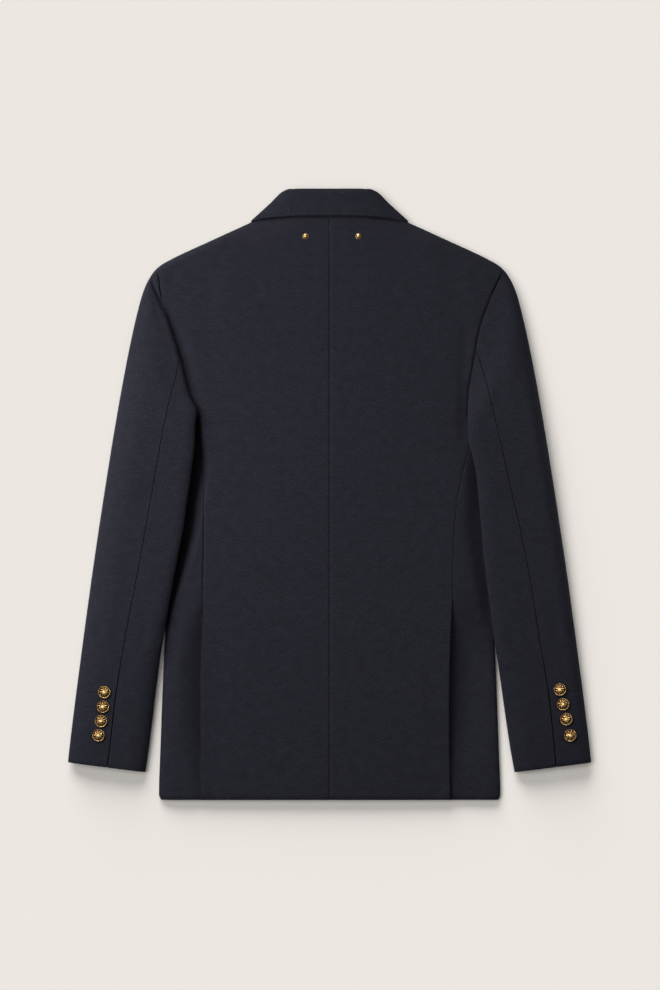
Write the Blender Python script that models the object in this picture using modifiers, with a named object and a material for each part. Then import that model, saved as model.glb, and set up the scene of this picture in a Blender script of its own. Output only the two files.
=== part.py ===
"""Double breasted blazer, laid flat with its back up.

It lies on the surface z = 0 with its collar towards +Y and its hem towards -Y, so the wearer's
left is at -X. Every panel is one wall of cloth. Its sections run across the garment, one for each
station along Y, and their heights are worked out from the tables below.
"""
import math
from collections import namedtuple

import bmesh
import bpy
from mathutils import Vector

MM = 0.001  # every size below is in millimetres

# The whole garment
LENGTH = 744.8           # fold of the collar to the hem
COLLAR_FOLD = LENGTH / 2
HEM = -LENGTH / 2
CLOTH = 2.0              # a wall of outer cloth with its lining
SEAM_GAP = 0.3
CURVED_GAP = 0.8         # seams where the cloth curves away on each side
LAYER = CLOTH + 0.4      # height from one layer to the next that lies on it

# Heights along the garment
UNDERARM = 84.0
SHOULDER_POINT = 268.0
NECK_SEAM = 345.0
BLEND_TOP = 140.0        # above this the sleeve's outline is the trunk's outline too
TOP_FRONT = 326.0        # last station of the fronts, where they meet the neck
GORGE = 297.5

# Side vents
VENT_TOP = -135.0
VENT_STEP = 15.0
VENT_DIP = 3.2
VENT_DIP_REACH = 28.0
VENT_UNDERLAP = 18.0
VENT_TURN = 22.5         # the underlap starts this far below the top of the vent

# How the trunk rounds over at its sides, as shares of its thickness
EDGE_SHARE = 0.42
BACK_ROUND = 1.7
FRONT_ROUND = 0.75
CROWN_FALL = 0.16
SHOULDER_WRAP = 30.0     # the back turns this far under at the shoulder seam
WRAP_SHARES = (0.15, 0.5, 1.0)
SHOULDER_GAP = 2.0       # measured along X, across the slanted shoulder seam
SIDE_TURN = 36.0         # the side body turns this far under the trunk

# Sleeves
SLEEVE_LAP = 4.0         # the back's armhole edge runs this far under the sleeve
SLEEVE_INSET = 2.8
OUTER_EDGE = 8.5         # height of the middle of a sleeve's outer fold
INNER_EDGE = 5.5         # the same at its inner fold, above what it lies on
SLEEVE_ROUND = 40.0
INNER_ROUND = 1.6        # reach of the inner fold, as a share of its rise
INNER_ROUND_LEAST = 4.0
HEAD_START = 12.0
SLEEVE_UNDER_ROUND = 12.0
HEAD_RISE = 60.0         # the sleeve head reaches its full height this far from the armhole
INSEAM = 18.0            # the hidden seam lies this far from the inner fold
SLEEVE_TOP = 264.0
BACK_SEAM_TOP = 168.0
BACK_SEAM_START = 2.5    # it starts this far from the armhole
TILT_START = -165.0      # below this the sections turn square to the sleeve
CUFF = -326.6
CUFF_DROP = 12.0
LEAN_CLEARANCE = 3.0     # the sleeve leans on the side body
LEAN_REACH = 18.0

# Fronts, lapels and their buttons, all face down
FRONT_LAP = 74.0         # each front runs this far past the middle
BREAK = 30.0             # the lapel turns back from here
COLLAR_HALF = 50.0       # half the collar's straight fold
LEVEL_HALF = 120.0       # the stacked layers are level this far out
LEVEL_END = 150.0
LEVEL_SHARES = (0.0, 0.35, 0.7, 1.0)
FRONT_BUTTON_X = 58.0
FRONT_BUTTON_Y = (5.0, -95.0, -195.0)
FRONT_BUTTON_SCALE = 1.26
BUTTON_BAND = (-260.0, -215.0, 18.0, 45.0)  # the fronts rise over the buttons and sink again
LEFT_LAPEL_FALL = (235.0, 285.0)
LAPEL_RISE_LENGTH = 14.0
LAPEL_SHARES = (0.0, 0.5, 1.0)

# Buttons and studs
BUTTON_RADIUS = 7.8
BUTTON_HEIGHT = 4.4
BUTTON_STEPS = 12
STUD_RADIUS = 3.6
STUD_HEIGHT = 2.2
STUD_Y = 315.0
STUD_LEFT_X = -29.2
STUD_RIGHT_X = 35.1

# How finely the walls are divided
LONGEST_STEP = 30.0
STEP_SLACK = 0.01        # a length this much over a whole count of steps isn't divided again
EDGE_STEP = 1.2          # least distance between neighbouring points at a front's edge
SLOPE_STEP = 3.0         # reach over which a surface's slope is measured
AXIS_MERGE = 0.00001

Outline = namedtuple("Outline", "y half")
OUTLINE = (
    Outline(-327.0, 318.8),
    Outline(-312.0, 317.3),
    Outline(-202.0, 303.5),
    Outline(-92.0, 288.5),
    Outline(17.0, 272.1),
    Outline(91.0, 260.0),
    Outline(164.0, 246.6),
    Outline(200.0, 239.1),
    Outline(231.0, 231.6),
    Outline(246.0, 227.2),
    Outline(258.0, 222.2),
    Outline(267.5, 216.7),
    Outline(273.6, 211.9),
    Outline(279.7, 204.5),
    Outline(287.0, 191.5),
    Outline(310.2, 141.6),
    Outline(326.0, 104.0),
    Outline(331.0, 87.0),
    Outline(338.0, 75.0),
    Outline(345.0, 64.0),
)

Trunk = namedtuple("Trunk", "y fold crown")
TRUNK = (
    Trunk(HEM, 205.5, 12.0),
    Trunk(-366.0, 208.0, 12.6),
    Trunk(-312.0, 206.3, 13.6),
    Trunk(-202.0, 202.0, 16.0),
    Trunk(-135.0, 196.5, 17.2),
    Trunk(-62.0, 190.0, 18.2),
    Trunk(-7.0, 188.6, 18.6),
    Trunk(84.0, 192.0, 19.2),
    Trunk(170.0, 192.0, 20.5),
    Trunk(260.0, 192.0, 22.0),
    Trunk(345.0, 192.0, 22.0),
)

Seam = namedtuple("Seam", "y left right")
SIDE_SEAM = (
    Seam(HEM, 156.3, 146.9),
    Seam(-135.0, 155.6, 148.2),
    Seam(-80.0, 152.8, 149.5),
    Seam(0.0, 153.0, 156.0),
    Seam(42.0, 156.0, 163.6),
    Seam(84.0, 159.5, 169.0),
)
ARMHOLE = (
    Seam(84.0, 164.5, 168.0),
    Seam(99.0, 161.5, 168.6),
    Seam(121.0, 170.3, 169.6),
    Seam(161.0, 180.1, 176.0),
    Seam(200.0, 192.3, 183.0),
    Seam(231.0, 202.5, 193.5),
    Seam(246.0, 205.8, 199.5),
    Seam(268.0, 210.0, 210.0),
)
SLEEVE_INNER = (
    Seam(-339.0, 224.7, 225.5),
    Seam(-312.0, 220.6, 220.6),
    Seam(-202.0, 205.1, 205.1),
    Seam(-160.0, 198.6, 199.2),
    Seam(-80.0, 192.6, 188.8),
    Seam(-7.0, 177.6, 179.5),
    Seam(50.0, 170.3, 172.0),
    Seam(84.0, 164.5, 168.0),
)
BACK_SEAM = (
    Seam(-334.0, 271.2, 275.8),
    Seam(-286.0, 266.7, 271.8),
    Seam(-227.0, 256.9, 265.4),
    Seam(-147.0, 243.5, 253.0),
    Seam(-64.0, 228.3, 238.0),
    Seam(5.0, 213.6, 221.6),
    Seam(60.0, 205.7, 207.9),
    Seam(115.0, 194.7, 196.5),
    Seam(168.0, 182.6, 179.5),
)

# Beside the left sleeve the side body sinks from its lip until it almost touches the front
Hollow = namedtuple("Hollow", "y lip share")
LEFT_HOLLOW = (
    Hollow(-172.0, 200.0, 0.0),
    Hollow(-140.0, 191.0, 0.4),
    Hollow(-105.0, 180.0, 0.75),
    Hollow(-62.0, 167.0, 0.95),
    Hollow(-32.0, 160.0, 1.0),
    Hollow(11.0, 156.0, 1.0),
    Hollow(55.0, 159.0, 0.95),
    Hollow(84.0, 162.0, 0.8),
    Hollow(112.0, 168.0, 0.0),
)
HOLLOW_REACH = 15.0
HOLLOW_FLOOR = 5.0       # its height above the outer face of the front below it
HOLLOW_FOLD = 4.5        # it stays this much higher at the fold
HOLLOW_FOLD_REACH = 18.0

Height = namedtuple("Height", "y crown")
SLEEVE_HEIGHT = (
    Height(CUFF, 22.0),
    Height(-200.0, 25.0),
    Height(-30.0, 29.0),
    Height(84.0, 32.0),
    Height(130.0, 31.0),
    Height(200.0, 28.5),
    Height(SLEEVE_TOP, 27.0),
)

LapelEdge = namedtuple("LapelEdge", "y reach")
LAPEL_EDGE = (
    LapelEdge(BREAK, -71.0),
    LapelEdge(60.0, -42.0),
    LapelEdge(100.0, -5.0),
    LapelEdge(150.0, 39.0),
    LapelEdge(205.0, 82.0),
    LapelEdge(262.0, 117.0),
    LapelEdge(282.0, 124.0),
    LapelEdge(290.0, 74.0),
    LapelEdge(GORGE, 28.0),
)

# Collar, one row for each section round the neck: neck seam, fold and outer edge
CollarRow = namedtuple("CollarRow", "turn neck fold edge")
COLLAR = (
    CollarRow(0.0, (0.0, 345.6, 21.0), (0.0, 371.2, 20.2), (0.0, 339.8, 23.6)),
    CollarRow(0.0, (22.0, 345.6, 19.6), (24.0, 371.2, 19.8), (24.0, 339.6, 23.2)),
    CollarRow(15.0, (40.0, 345.8, 17.0), (41.0, 371.0, 18.8), (47.0, 338.6, 21.8)),
    CollarRow(40.0, (52.0, 346.6, 14.6), (47.6, 370.4, 16.6), (71.0, 336.6, 18.2)),
    CollarRow(90.0, (60.0, 348.4, 11.4), (49.4, 368.6, 11.6), (94.0, 331.8, 11.0)),
    CollarRow(150.0, (60.0, 344.0, 5.4), (46.6, 361.4, 3.6), (91.4, 329.6, 1.8)),
    CollarRow(180.0, (58.0, 334.0, 4.6), (40.6, 346.0, 2.9), (91.0, 318.0, 1.3)),
    CollarRow(180.0, (54.0, 320.0, 4.6), (32.6, 324.0, 2.9), (88.6, 306.0, 1.3)),
    CollarRow(180.0, (45.0, 305.0, 4.6), (24.8, 301.6, 2.9), (84.0, 291.2, 1.3)),
)
COLLAR_UNDER = 180.0     # turn of the sections that lie under the neck
COLLAR_ROLL = 2.3        # half the height between the stand and the fall
COLLAR_UNDER_ROLL = 1.61
COLLAR_SIDEWAYS = (0.66, 0.75)

# Points between the corners of a collar section: place and share of the roll
CollarPoint = namedtuple("CollarPoint", "place bulge")
STAND_POINTS = (CollarPoint(0.5, 0.5), CollarPoint(0.86, 0.9))
FALL_POINTS = (CollarPoint(0.09, 0.9), CollarPoint(0.45, 0.5))


# ---------------------------------------------------------------- values along the garment

def value_at(rows, column, y):
    """Value of a column at y, on a smooth curve through the rows that never overshoots them."""
    points = [(row.y, getattr(row, column)) for row in rows]
    if y <= points[0][0]:
        return points[0][1]
    if y >= points[-1][0]:
        return points[-1][1]
    k = max(i for i in range(len(points) - 1) if points[i][0] <= y)
    (y0, v0), (y1, v1) = points[k], points[k + 1]
    span = y1 - y0
    t = (y - y0) / span
    m0 = slope_at(points, k) * span
    m1 = slope_at(points, k + 1) * span
    return ((2 * t ** 3 - 3 * t ** 2 + 1) * v0 + (t ** 3 - 2 * t ** 2 + t) * m0
            + (3 * t ** 2 - 2 * t ** 3) * v1 + (t ** 3 - t ** 2) * m1)


def slope_at(points, k):
    """Slope at point k: the harmonic mean of the slopes on each side, or 0 at a turn."""
    if k == 0 or k == len(points) - 1:
        a, b = (points[0], points[1]) if k == 0 else (points[-2], points[-1])
        return (b[1] - a[1]) / (b[0] - a[0])
    before = (points[k][1] - points[k - 1][1]) / (points[k][0] - points[k - 1][0])
    after = (points[k + 1][1] - points[k][1]) / (points[k + 1][0] - points[k][0])
    if before * after <= 0:
        return 0.0
    return 2 * before * after / (before + after)


def ease(t):
    """0 to 1 with level ends."""
    t = min(max(t, 0.0), 1.0)
    return t * t * (3 - 2 * t)


def round_over(depth, reach):
    """Height of a quarter round, 0 at the fold and 1 at reach inside it."""
    t = min(max(depth / reach, 0.0), 1.0)
    return math.sqrt(1 - (1 - t) ** 2)


def mix(a, b, t):
    return a + (b - a) * t


def side_name(side):
    return "left" if side < 0 else "right"


def stations(stops):
    """Stations from stop to stop, none further apart than LONGEST_STEP."""
    found = [stops[0]]
    for low, high in zip(stops, stops[1:]):
        count = max(1, math.ceil((high - low) / LONGEST_STEP - STEP_SLACK))
        found.extend(low + (high - low) * k / count for k in range(1, count + 1))
    return found


# ---------------------------------------------------------------- heights of the trunk

def trunk_edge(y):
    """Half width at which the trunk turns under."""
    fold = value_at(TRUNK, "fold", y)
    if y <= UNDERARM:
        return fold
    outline = value_at(OUTLINE, "half", y)
    if y >= SHOULDER_POINT:
        return outline
    return mix(fold, outline - SLEEVE_INSET, ease((y - UNDERARM) / (BLEND_TOP - UNDERARM)))


def edge_slant(y):
    """Share of a distance along X that lies square to the outline."""
    if y <= UNDERARM:
        return 1.0
    run = value_at(OUTLINE, "half", y + SLOPE_STEP) - value_at(OUTLINE, "half", y - SLOPE_STEP)
    return 1 / math.hypot(1, run / (2 * SLOPE_STEP))


def edge_depth(x, y):
    return (trunk_edge(y) - abs(x)) * edge_slant(y)


def back_top(x, y):
    """Height of the back before it rounds over at its edge."""
    return value_at(TRUNK, "crown", y) * (1 - CROWN_FALL * min(abs(x) / trunk_edge(y), 1.0) ** 2)


def back_height(x, y):
    """Outer height of the back and of the side body on top of it."""
    crown = value_at(TRUNK, "crown", y)
    return mix(crown * EDGE_SHARE, back_top(x, y), round_over(edge_depth(x, y), crown * BACK_ROUND))


def band(y, limits):
    """1 between the two middle limits, easing to 0 at the outer ones."""
    return ease((y - limits[0]) / (limits[1] - limits[0])) * ease((limits[3] - y) / (limits[3] - limits[2]))


def lapel_below(y):
    """1 where a lapel lies under its front."""
    return ease((y - BREAK + LAPEL_RISE_LENGTH) / LAPEL_RISE_LENGTH)


def lapel_rise(side, y):
    """Height of a lapel's face. The right one lies lowest and rises over the buttons."""
    right = (BUTTON_HEIGHT + SEAM_GAP) * FRONT_BUTTON_SCALE * band(y, BUTTON_BAND)
    if side > 0:
        return right
    low, high = LEFT_LAPEL_FALL
    return (right + LAYER * lapel_below(y) + LAYER) * (1 - ease((y - low) / (high - low)))


def front_rise(side, y):
    """Height of a front's face above the surface, where the layers are stacked."""
    return lapel_rise(side, y) + LAYER * lapel_below(y)


def front_height(side, x, y):
    """Outer height of the underside."""
    low = value_at(TRUNK, "crown", y) * EDGE_SHARE
    level = front_rise(side, y) * (1 - ease((abs(x) - LEVEL_HALF) / (LEVEL_END - LEVEL_HALF)))
    reach = value_at(TRUNK, "crown", y) * FRONT_ROUND
    return mix(low, level, round_over(edge_depth(x, y), reach))


def back_face(side, x, y):
    """Outer height of the back and the side body, with the hollow beside the left sleeve."""
    z = back_height(x, y)
    if side > 0:
        return z
    lowest = front_height(side, x, y) + HOLLOW_FLOOR
    lowest += HOLLOW_FOLD * (1 - ease(edge_depth(x, y) / HOLLOW_FOLD_REACH))
    drop = max(z - lowest, 0.0)
    reached = ease((x - value_at(LEFT_HOLLOW, "lip", y)) / HOLLOW_REACH)
    return z - drop * reached * value_at(LEFT_HOLLOW, "share", y)


def roll_line(y):
    """Where a front turns back as its lapel, measured from the middle towards its own side."""
    slope = (COLLAR_HALF + FRONT_LAP) / (COLLAR_FOLD - BREAK)
    return -FRONT_LAP + max(y - BREAK, 0.0) * slope


# ---------------------------------------------------------------- cloth walls

def point(side, x, y, z):
    """A point in metres, x measured from the middle towards the named side."""
    return Vector((side * x, y, z)) * MM


def cloth_wall(name, rows, flip, offset=-1.0):
    """Skins the rows of points, leaving out cells with a missing corner, and gives them thickness."""
    mesh = bpy.data.meshes.new(name)
    form = bmesh.new()
    grid = [[form.verts.new(p) if p is not None else None for p in row] for row in rows]
    for low, high in zip(grid, grid[1:]):
        for k in range(len(low) - 1):
            corners = [low[k], low[k + 1], high[k + 1], high[k]]
            if None in corners:
                continue
            form.faces.new(corners[::-1] if flip else corners)
    loose = [vert for vert in form.verts if not vert.link_faces]
    bmesh.ops.delete(form, geom=loose, context="VERTS")
    form.to_mesh(mesh)
    form.free()
    mesh.shade_smooth()
    panel = bpy.data.objects.new(name, mesh)
    parts.objects.link(panel)
    wall = panel.modifiers.new("Cloth thickness", "SOLIDIFY")
    wall.thickness = CLOTH * MM
    wall.offset = offset
    panel.data.materials.append(cloth_material(name))
    return panel


def plain_material(name, colour, roughness, metallic):
    material = bpy.data.materials.new(name)
    material.use_nodes = True
    shader = material.node_tree.nodes["Principled BSDF"]
    shader.inputs["Base Color"].default_value = (*colour, 1.0)
    shader.inputs["Roughness"].default_value = roughness
    shader.inputs["Metallic"].default_value = metallic
    return material


def cloth_material(name):
    return plain_material(name + "_cloth", (0.017, 0.018, 0.028), 0.85, 0.0)


def brass_material(name):
    return plain_material(name + "_brass", (0.55, 0.36, 0.13), 0.35, 1.0)


# ---------------------------------------------------------------- back

BACK_SHARES = (0.0, 0.25, 0.5, 0.72, 0.87, 0.96, 1.0)
ARMHOLE_STOPS = (UNDERARM, 99.0, 121.0, 144.0, BACK_SEAM_TOP, 190.0, 212.0, 235.0, 250.0, 259.0)
TRUNK_STOPS = (HEM, HEM + 5, -260.0, -215.0, VENT_TOP - 2 * VENT_STEP, VENT_TOP - VENT_STEP,
               VENT_TOP, -10.0, 16.0, BREAK, 45.0, *ARMHOLE_STOPS,
               SHOULDER_POINT + 3, 282.0, 290.0, GORGE, 303.0, 314.0, TOP_FRONT, 331.0, 338.0,
               NECK_SEAM)


def back_limit(side, y):
    """Outer edge of the back: side seam, armhole or the shoulder's fold."""
    if y <= UNDERARM:
        return value_at(SIDE_SEAM, side_name(side), y) - SEAM_GAP / 2
    if y < SHOULDER_POINT:
        return value_at(ARMHOLE, side_name(side), y) + SLEEVE_LAP
    return trunk_edge(y)


def make_back(side):
    rows = []
    for y in stations(TRUNK_STOPS):
        limit = back_limit(side, y)
        xs = [mix(SEAM_GAP / 2, limit, share) for share in BACK_SHARES]
        row = [point(side, x, y, back_face(side, x, y)) for x in xs]
        if SHOULDER_POINT < y <= TOP_FRONT:
            for share in WRAP_SHARES:
                x = limit - SHOULDER_WRAP * share
                row.append(point(side, x, y, front_height(side, x, y)))
        else:
            row.extend([None] * len(WRAP_SHARES))
        rows.append(row)
    return cloth_wall("back_" + side_name(side), rows, side < 0)


# ---------------------------------------------------------------- side body

SIDE_SHARES = (0.0, 0.08, 0.3, 0.52, 0.74, 0.9, 0.98, 1.0)
SIDE_UNDER = (1.5, 5.0, 13.0, 30.0, SIDE_TURN)


def vent_dip(side, x, y):
    """How far the side body sinks under the back along the vent."""
    seam = value_at(SIDE_SEAM, side_name(side), y)
    length = ease((VENT_TOP - y) / VENT_STEP)
    return VENT_DIP * length * (1 - ease((x - seam) / VENT_DIP_REACH))


def make_side(side):
    rows = []
    for y in stations([stop for stop in TRUNK_STOPS if stop <= UNDERARM]):
        fold = trunk_edge(y)
        seam = value_at(SIDE_SEAM, side_name(side), y) + SEAM_GAP / 2
        row = [None]
        if y < VENT_TOP - VENT_TURN:
            x = seam - VENT_UNDERLAP
            row = [point(side, x, y, back_face(side, x, y) - VENT_DIP)]
        for share in SIDE_SHARES:
            x = mix(seam, fold, share)
            row.append(point(side, x, y, back_face(side, x, y) - vent_dip(side, x, y)))
        for turn in SIDE_UNDER:
            row.append(point(side, fold - turn, y, front_height(side, fold - turn, y)))
        rows.append(row)
    return cloth_wall("side_" + side_name(side), rows, side < 0)


# ---------------------------------------------------------------- fronts and lapels

def front_limits(side, y):
    """Inner and outer edge of a front, from the middle towards its own side."""
    if y <= UNDERARM:
        outer = trunk_edge(y) - SIDE_TURN - SEAM_GAP
    elif y < SHOULDER_POINT:
        outer = value_at(ARMHOLE, side_name(side), y) - SEAM_GAP
    else:
        outer = trunk_edge(y) - SHOULDER_WRAP - SHOULDER_GAP
    if y <= GORGE:
        return roll_line(y), outer
    neck_rows = [Outline(row.neck[1], row.neck[0]) for row in COLLAR[:4:-1]]
    return value_at(neck_rows, "half", y) + 2 * CURVED_GAP, outer


def make_front(side):
    rows = []
    for y in stations([stop for stop in TRUNK_STOPS if stop <= TOP_FRONT]):
        inner, outer = front_limits(side, y)
        marks = [inner, *(mix(LEVEL_HALF, LEVEL_END, share) for share in LEVEL_SHARES), outer]
        last = len(marks) - 1
        xs = [min(mark, outer - EDGE_STEP * (last - k)) for k, mark in enumerate(marks)]
        row = [point(side, x, y, front_height(side, x, y)) for x in xs]
        rows.append(row)
    return cloth_wall("front_" + side_name(side), rows, side > 0)


def make_lapel(side):
    rows = []
    for y in stations([stop for stop in TRUNK_STOPS if BREAK <= stop <= GORGE]):
        inner = roll_line(y)
        outer = value_at(LAPEL_EDGE, "reach", y)
        z = lapel_rise(side, y)
        row = [point(side, mix(inner, outer, share), y, z) for share in LAPEL_SHARES]
        rows.append(row)
    return cloth_wall("lapel_" + side_name(side), rows, side > 0)


# ---------------------------------------------------------------- collar

def collar_section(row):
    """Points of the folded collar from the neck seam over the fold to its outer edge."""
    angle = math.radians(row.turn)
    outwards = Vector((COLLAR_SIDEWAYS[0] * math.sin(angle), COLLAR_SIDEWAYS[1] * math.sin(angle),
                       math.cos(angle)))
    neck, fold, edge = Vector(row.neck), Vector(row.fold), Vector(row.edge)
    roll = outwards * (COLLAR_UNDER_ROLL if row.turn == COLLAR_UNDER else COLLAR_ROLL)
    stand = [neck.lerp(fold, spot.place) - roll * spot.bulge for spot in STAND_POINTS]
    fall = [fold.lerp(edge, spot.place) + roll * spot.bulge for spot in FALL_POINTS]
    return [neck, *stand, fold, *fall, edge]


def make_collar():
    right = [collar_section(row) for row in COLLAR]
    left = [[Vector((-p.x, p.y, p.z)) for p in section] for section in right[:0:-1]]
    rows = [[p * MM for p in section] for section in left + right]
    return cloth_wall("collar", rows, False, 0.0)


# ---------------------------------------------------------------- sleeves

Section = namedtuple("Section", "side y_outer y_inner outer inner joined")


def sleeve_section(side, y):
    """One section across a sleeve, from its outer fold at y to its inner fold or armhole."""
    name = side_name(side)
    drop = CUFF_DROP * ease((TILT_START - y) / (TILT_START - CUFF))
    joined = y > UNDERARM
    inner = value_at(ARMHOLE if joined else SLEEVE_INNER, name, y - drop)
    return Section(side, y, y - drop, value_at(OUTLINE, "half", y), inner, joined)


def section_y(section, x):
    share = (section.outer - x) / (section.outer - section.inner)
    return mix(section.y_outer, section.y_inner, share)


def lean_height(x, y):
    """Height that a sleeve is lifted to where it leans on the side body."""
    if y > UNDERARM:
        return 0.0
    fold = trunk_edge(y)
    if x <= fold + LEAN_CLEARANCE:
        return back_height(min(x, fold), y) + LEAN_CLEARANCE
    at_fold = back_height(fold, y) + LEAN_CLEARANCE
    return at_fold * (1 - round_over(x - fold - LEAN_CLEARANCE, LEAN_REACH))


def outer_round(section):
    """Height of the outer fold's middle and how far in the sleeve rounds over from it."""
    if not section.joined:
        return OUTER_EDGE, SLEEVE_ROUND
    trunk = value_at(TRUNK, "crown", section.y_outer)
    share = ease((section.y_outer - UNDERARM) / (BLEND_TOP - UNDERARM))
    return (mix(OUTER_EDGE, trunk * EDGE_SHARE + LAYER, share),
            mix(SLEEVE_ROUND, trunk * BACK_ROUND, share))


def sleeve_top(section, x):
    y = section_y(section, x)
    crown = value_at(SLEEVE_HEIGHT, "crown", section.y_outer)
    if section.joined:
        start = back_top(section.inner, y) + LAYER
        top = mix(start, crown, ease((x - section.inner + HEAD_START) / HEAD_RISE))
    else:
        start = lean_height(section.inner, y) + INNER_EDGE
        reach = INNER_ROUND_LEAST + INNER_ROUND * (crown - start)
        top = mix(start, crown, round_over(x - section.inner, reach))
    depth = (section.outer - x) * edge_slant(section.y_outer)
    low, reach = outer_round(section)
    return mix(low, top, round_over(depth, reach))


def sleeve_under(section, x):
    y = section_y(section, x)
    depth = (section.outer - x) * edge_slant(section.y_outer)
    rest = lean_height(x, y)
    outer_edge = outer_round(section)[0] * (1 - round_over(depth, SLEEVE_UNDER_ROUND))
    if section.joined:
        return outer_edge
    inner_edge = INNER_EDGE * (1 - round_over(x - section.inner, SLEEVE_UNDER_ROUND))
    return rest + inner_edge + outer_edge


def sleeve_point(section, x, z):
    return point(section.side, x, section_y(section, x), z)


SLEEVE_STOPS = (CUFF, CUFF + 4, TILT_START, *ARMHOLE_STOPS, SLEEVE_TOP)
UPPER_SHARES = (1.0, 0.7, 0.42, 0.2, 0.07, 0.015, 0.0)
UPPER_UNDER = (0.015, 0.06, 0.2, 0.45, 0.65, 0.78, 0.89, 1.0)
UNDER_SHARES = (0.0, 0.4, 0.7, 0.88, 0.975, 1.0)
UNDER_UNDER = (1.5, 5.0, 11.0, INSEAM - 2 * CURVED_GAP)


def upper_edge(section):
    """Where the upper sleeve ends on top: its back seam, or the armhole above that seam."""
    if section.y_outer > BACK_SEAM_TOP:
        return section.inner
    if section.y_outer == BACK_SEAM_TOP:
        return section.inner + BACK_SEAM_START
    middle = mix(section.y_outer, section.y_inner, 0.5)
    return value_at(BACK_SEAM, side_name(section.side), middle)


def make_upper_sleeve(side):
    rows = []
    for y in stations(SLEEVE_STOPS):
        section = sleeve_section(side, y)
        top_end = upper_edge(section) + (0.0 if y > BACK_SEAM_TOP else CURVED_GAP / 2)
        under_end = section.inner + (0.0 if section.joined else INSEAM)
        row = []
        for share in UPPER_SHARES:
            x = mix(section.outer, top_end, share)
            row.append(sleeve_point(section, x, sleeve_top(section, x)))
        for share in UPPER_UNDER:
            x = mix(section.outer, under_end, share)
            row.append(sleeve_point(section, x, sleeve_under(section, x)))
        rows.append(row)
    return cloth_wall("sleeve_upper_" + side_name(side), rows, side < 0)


def make_under_sleeve(side):
    rows = []
    for y in stations([stop for stop in SLEEVE_STOPS if stop <= BACK_SEAM_TOP]):
        section = sleeve_section(side, y)
        start = upper_edge(section) - CURVED_GAP / 2
        row = []
        for share in UNDER_SHARES:
            x = mix(start, section.inner, share)
            row.append(sleeve_point(section, x, sleeve_top(section, x)))
        for turn in UNDER_UNDER:
            x = section.inner + turn
            row.append(None if section.joined else sleeve_point(section, x, sleeve_under(section, x)))
        rows.append(row)
    return cloth_wall("sleeve_under_" + side_name(side), rows, side > 0)


# ---------------------------------------------------------------- buttons and studs

# Shares of the radius and of the height, from the top down
BUTTON_PROFILE = ((0.0, 1.0), (0.5, 0.92), (0.86, 0.64), (1.0, 0.34), (0.9, 0.2), (0.32, 0.2),
                  (0.32, 0.0), (0.0, 0.0))
STUD_PROFILE = ((0.0, 1.0), (0.5, 0.87), (0.86, 0.5), (1.0, 0.0), (0.0, 0.0))


def turned(name, profile, radius, height, place, axis):
    """A turned piece that stands at a place along an axis, its profile run from the top down."""
    mesh = bpy.data.meshes.new(name)
    points = [(share * radius * MM, 0.0, rise * height * MM) for share, rise in profile]
    edges = [(k, k + 1) for k in range(len(points) - 1)]
    mesh.from_pydata(points, edges, [])
    piece = bpy.data.objects.new(name, mesh)
    parts.objects.link(piece)
    screw = piece.modifiers.new("Turn", "SCREW")
    screw.steps = BUTTON_STEPS
    screw.render_steps = BUTTON_STEPS
    screw.use_merge_vertices = True
    screw.merge_threshold = AXIS_MERGE
    piece.location = place
    piece.rotation_euler = axis.to_track_quat("Z", "Y").to_euler()
    piece.data.materials.append(brass_material(name))
    return piece


def seated(height_at, x, y, side):
    """Place and axis of a piece seated on a surface of the given height."""
    reach = 2 * SLOPE_STEP
    along_x = (height_at(x + SLOPE_STEP, y) - height_at(x - SLOPE_STEP, y)) / reach
    along_y = (height_at(x, y + SLOPE_STEP) - height_at(x, y - SLOPE_STEP)) / reach
    axis = Vector((-along_x * side, -along_y, 1.0)).normalized()
    place = Vector((side * x, y, height_at(x, y))) + axis * SEAM_GAP
    return place * MM, axis


CuffButton = namedtuple("CuffButton", "left_x left_y right_x right_y")
CUFF_BUTTONS = (
    CuffButton(274.0, -240.4, 280.0, -237.4),
    CuffButton(275.6, -258.2, 283.8, -255.2),
    CuffButton(278.0, -275.6, 287.8, -273.4),
    CuffButton(281.0, -293.1, 292.7, -293.1),
)


def make_cuff_buttons(side):
    name = side_name(side)

    def height_at(x, y):
        section = sleeve_section(side, y)
        return sleeve_top(section, x)

    for number, row in enumerate(CUFF_BUTTONS, start=1):
        x = getattr(row, name + "_x")
        y = getattr(row, name + "_y")
        place, axis = seated(height_at, x, y, side)
        turned(f"cuff_button_{name}_{number}", BUTTON_PROFILE, BUTTON_RADIUS, BUTTON_HEIGHT, place, axis)


def make_front_buttons():
    number = 0
    for y in FRONT_BUTTON_Y:
        for x in (-FRONT_BUTTON_X, FRONT_BUTTON_X):
            number += 1
            height = BUTTON_HEIGHT * FRONT_BUTTON_SCALE
            place = point(1, x, y, height)
            turned(f"front_button_{number}", BUTTON_PROFILE, BUTTON_RADIUS * FRONT_BUTTON_SCALE,
                   height, place, Vector((0.0, 0.0, -1.0)))


def make_studs():
    for name, x in (("stud_left", STUD_LEFT_X), ("stud_right", STUD_RIGHT_X)):
        place, axis = seated(back_height, abs(x), STUD_Y, math.copysign(1, x))
        turned(name, STUD_PROFILE, STUD_RADIUS, STUD_HEIGHT, place, axis)


for leftover in list(bpy.data.objects):
    bpy.data.objects.remove(leftover)
parts = bpy.data.collections.new("double_breasted_blazer")
bpy.context.scene.collection.children.link(parts)

for which in (-1, 1):
    make_back(which)
    make_side(which)
    make_front(which)
    make_lapel(which)
    make_upper_sleeve(which)
    make_under_sleeve(which)
    make_cuff_buttons(which)
make_collar()
make_front_buttons()
make_studs()
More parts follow.
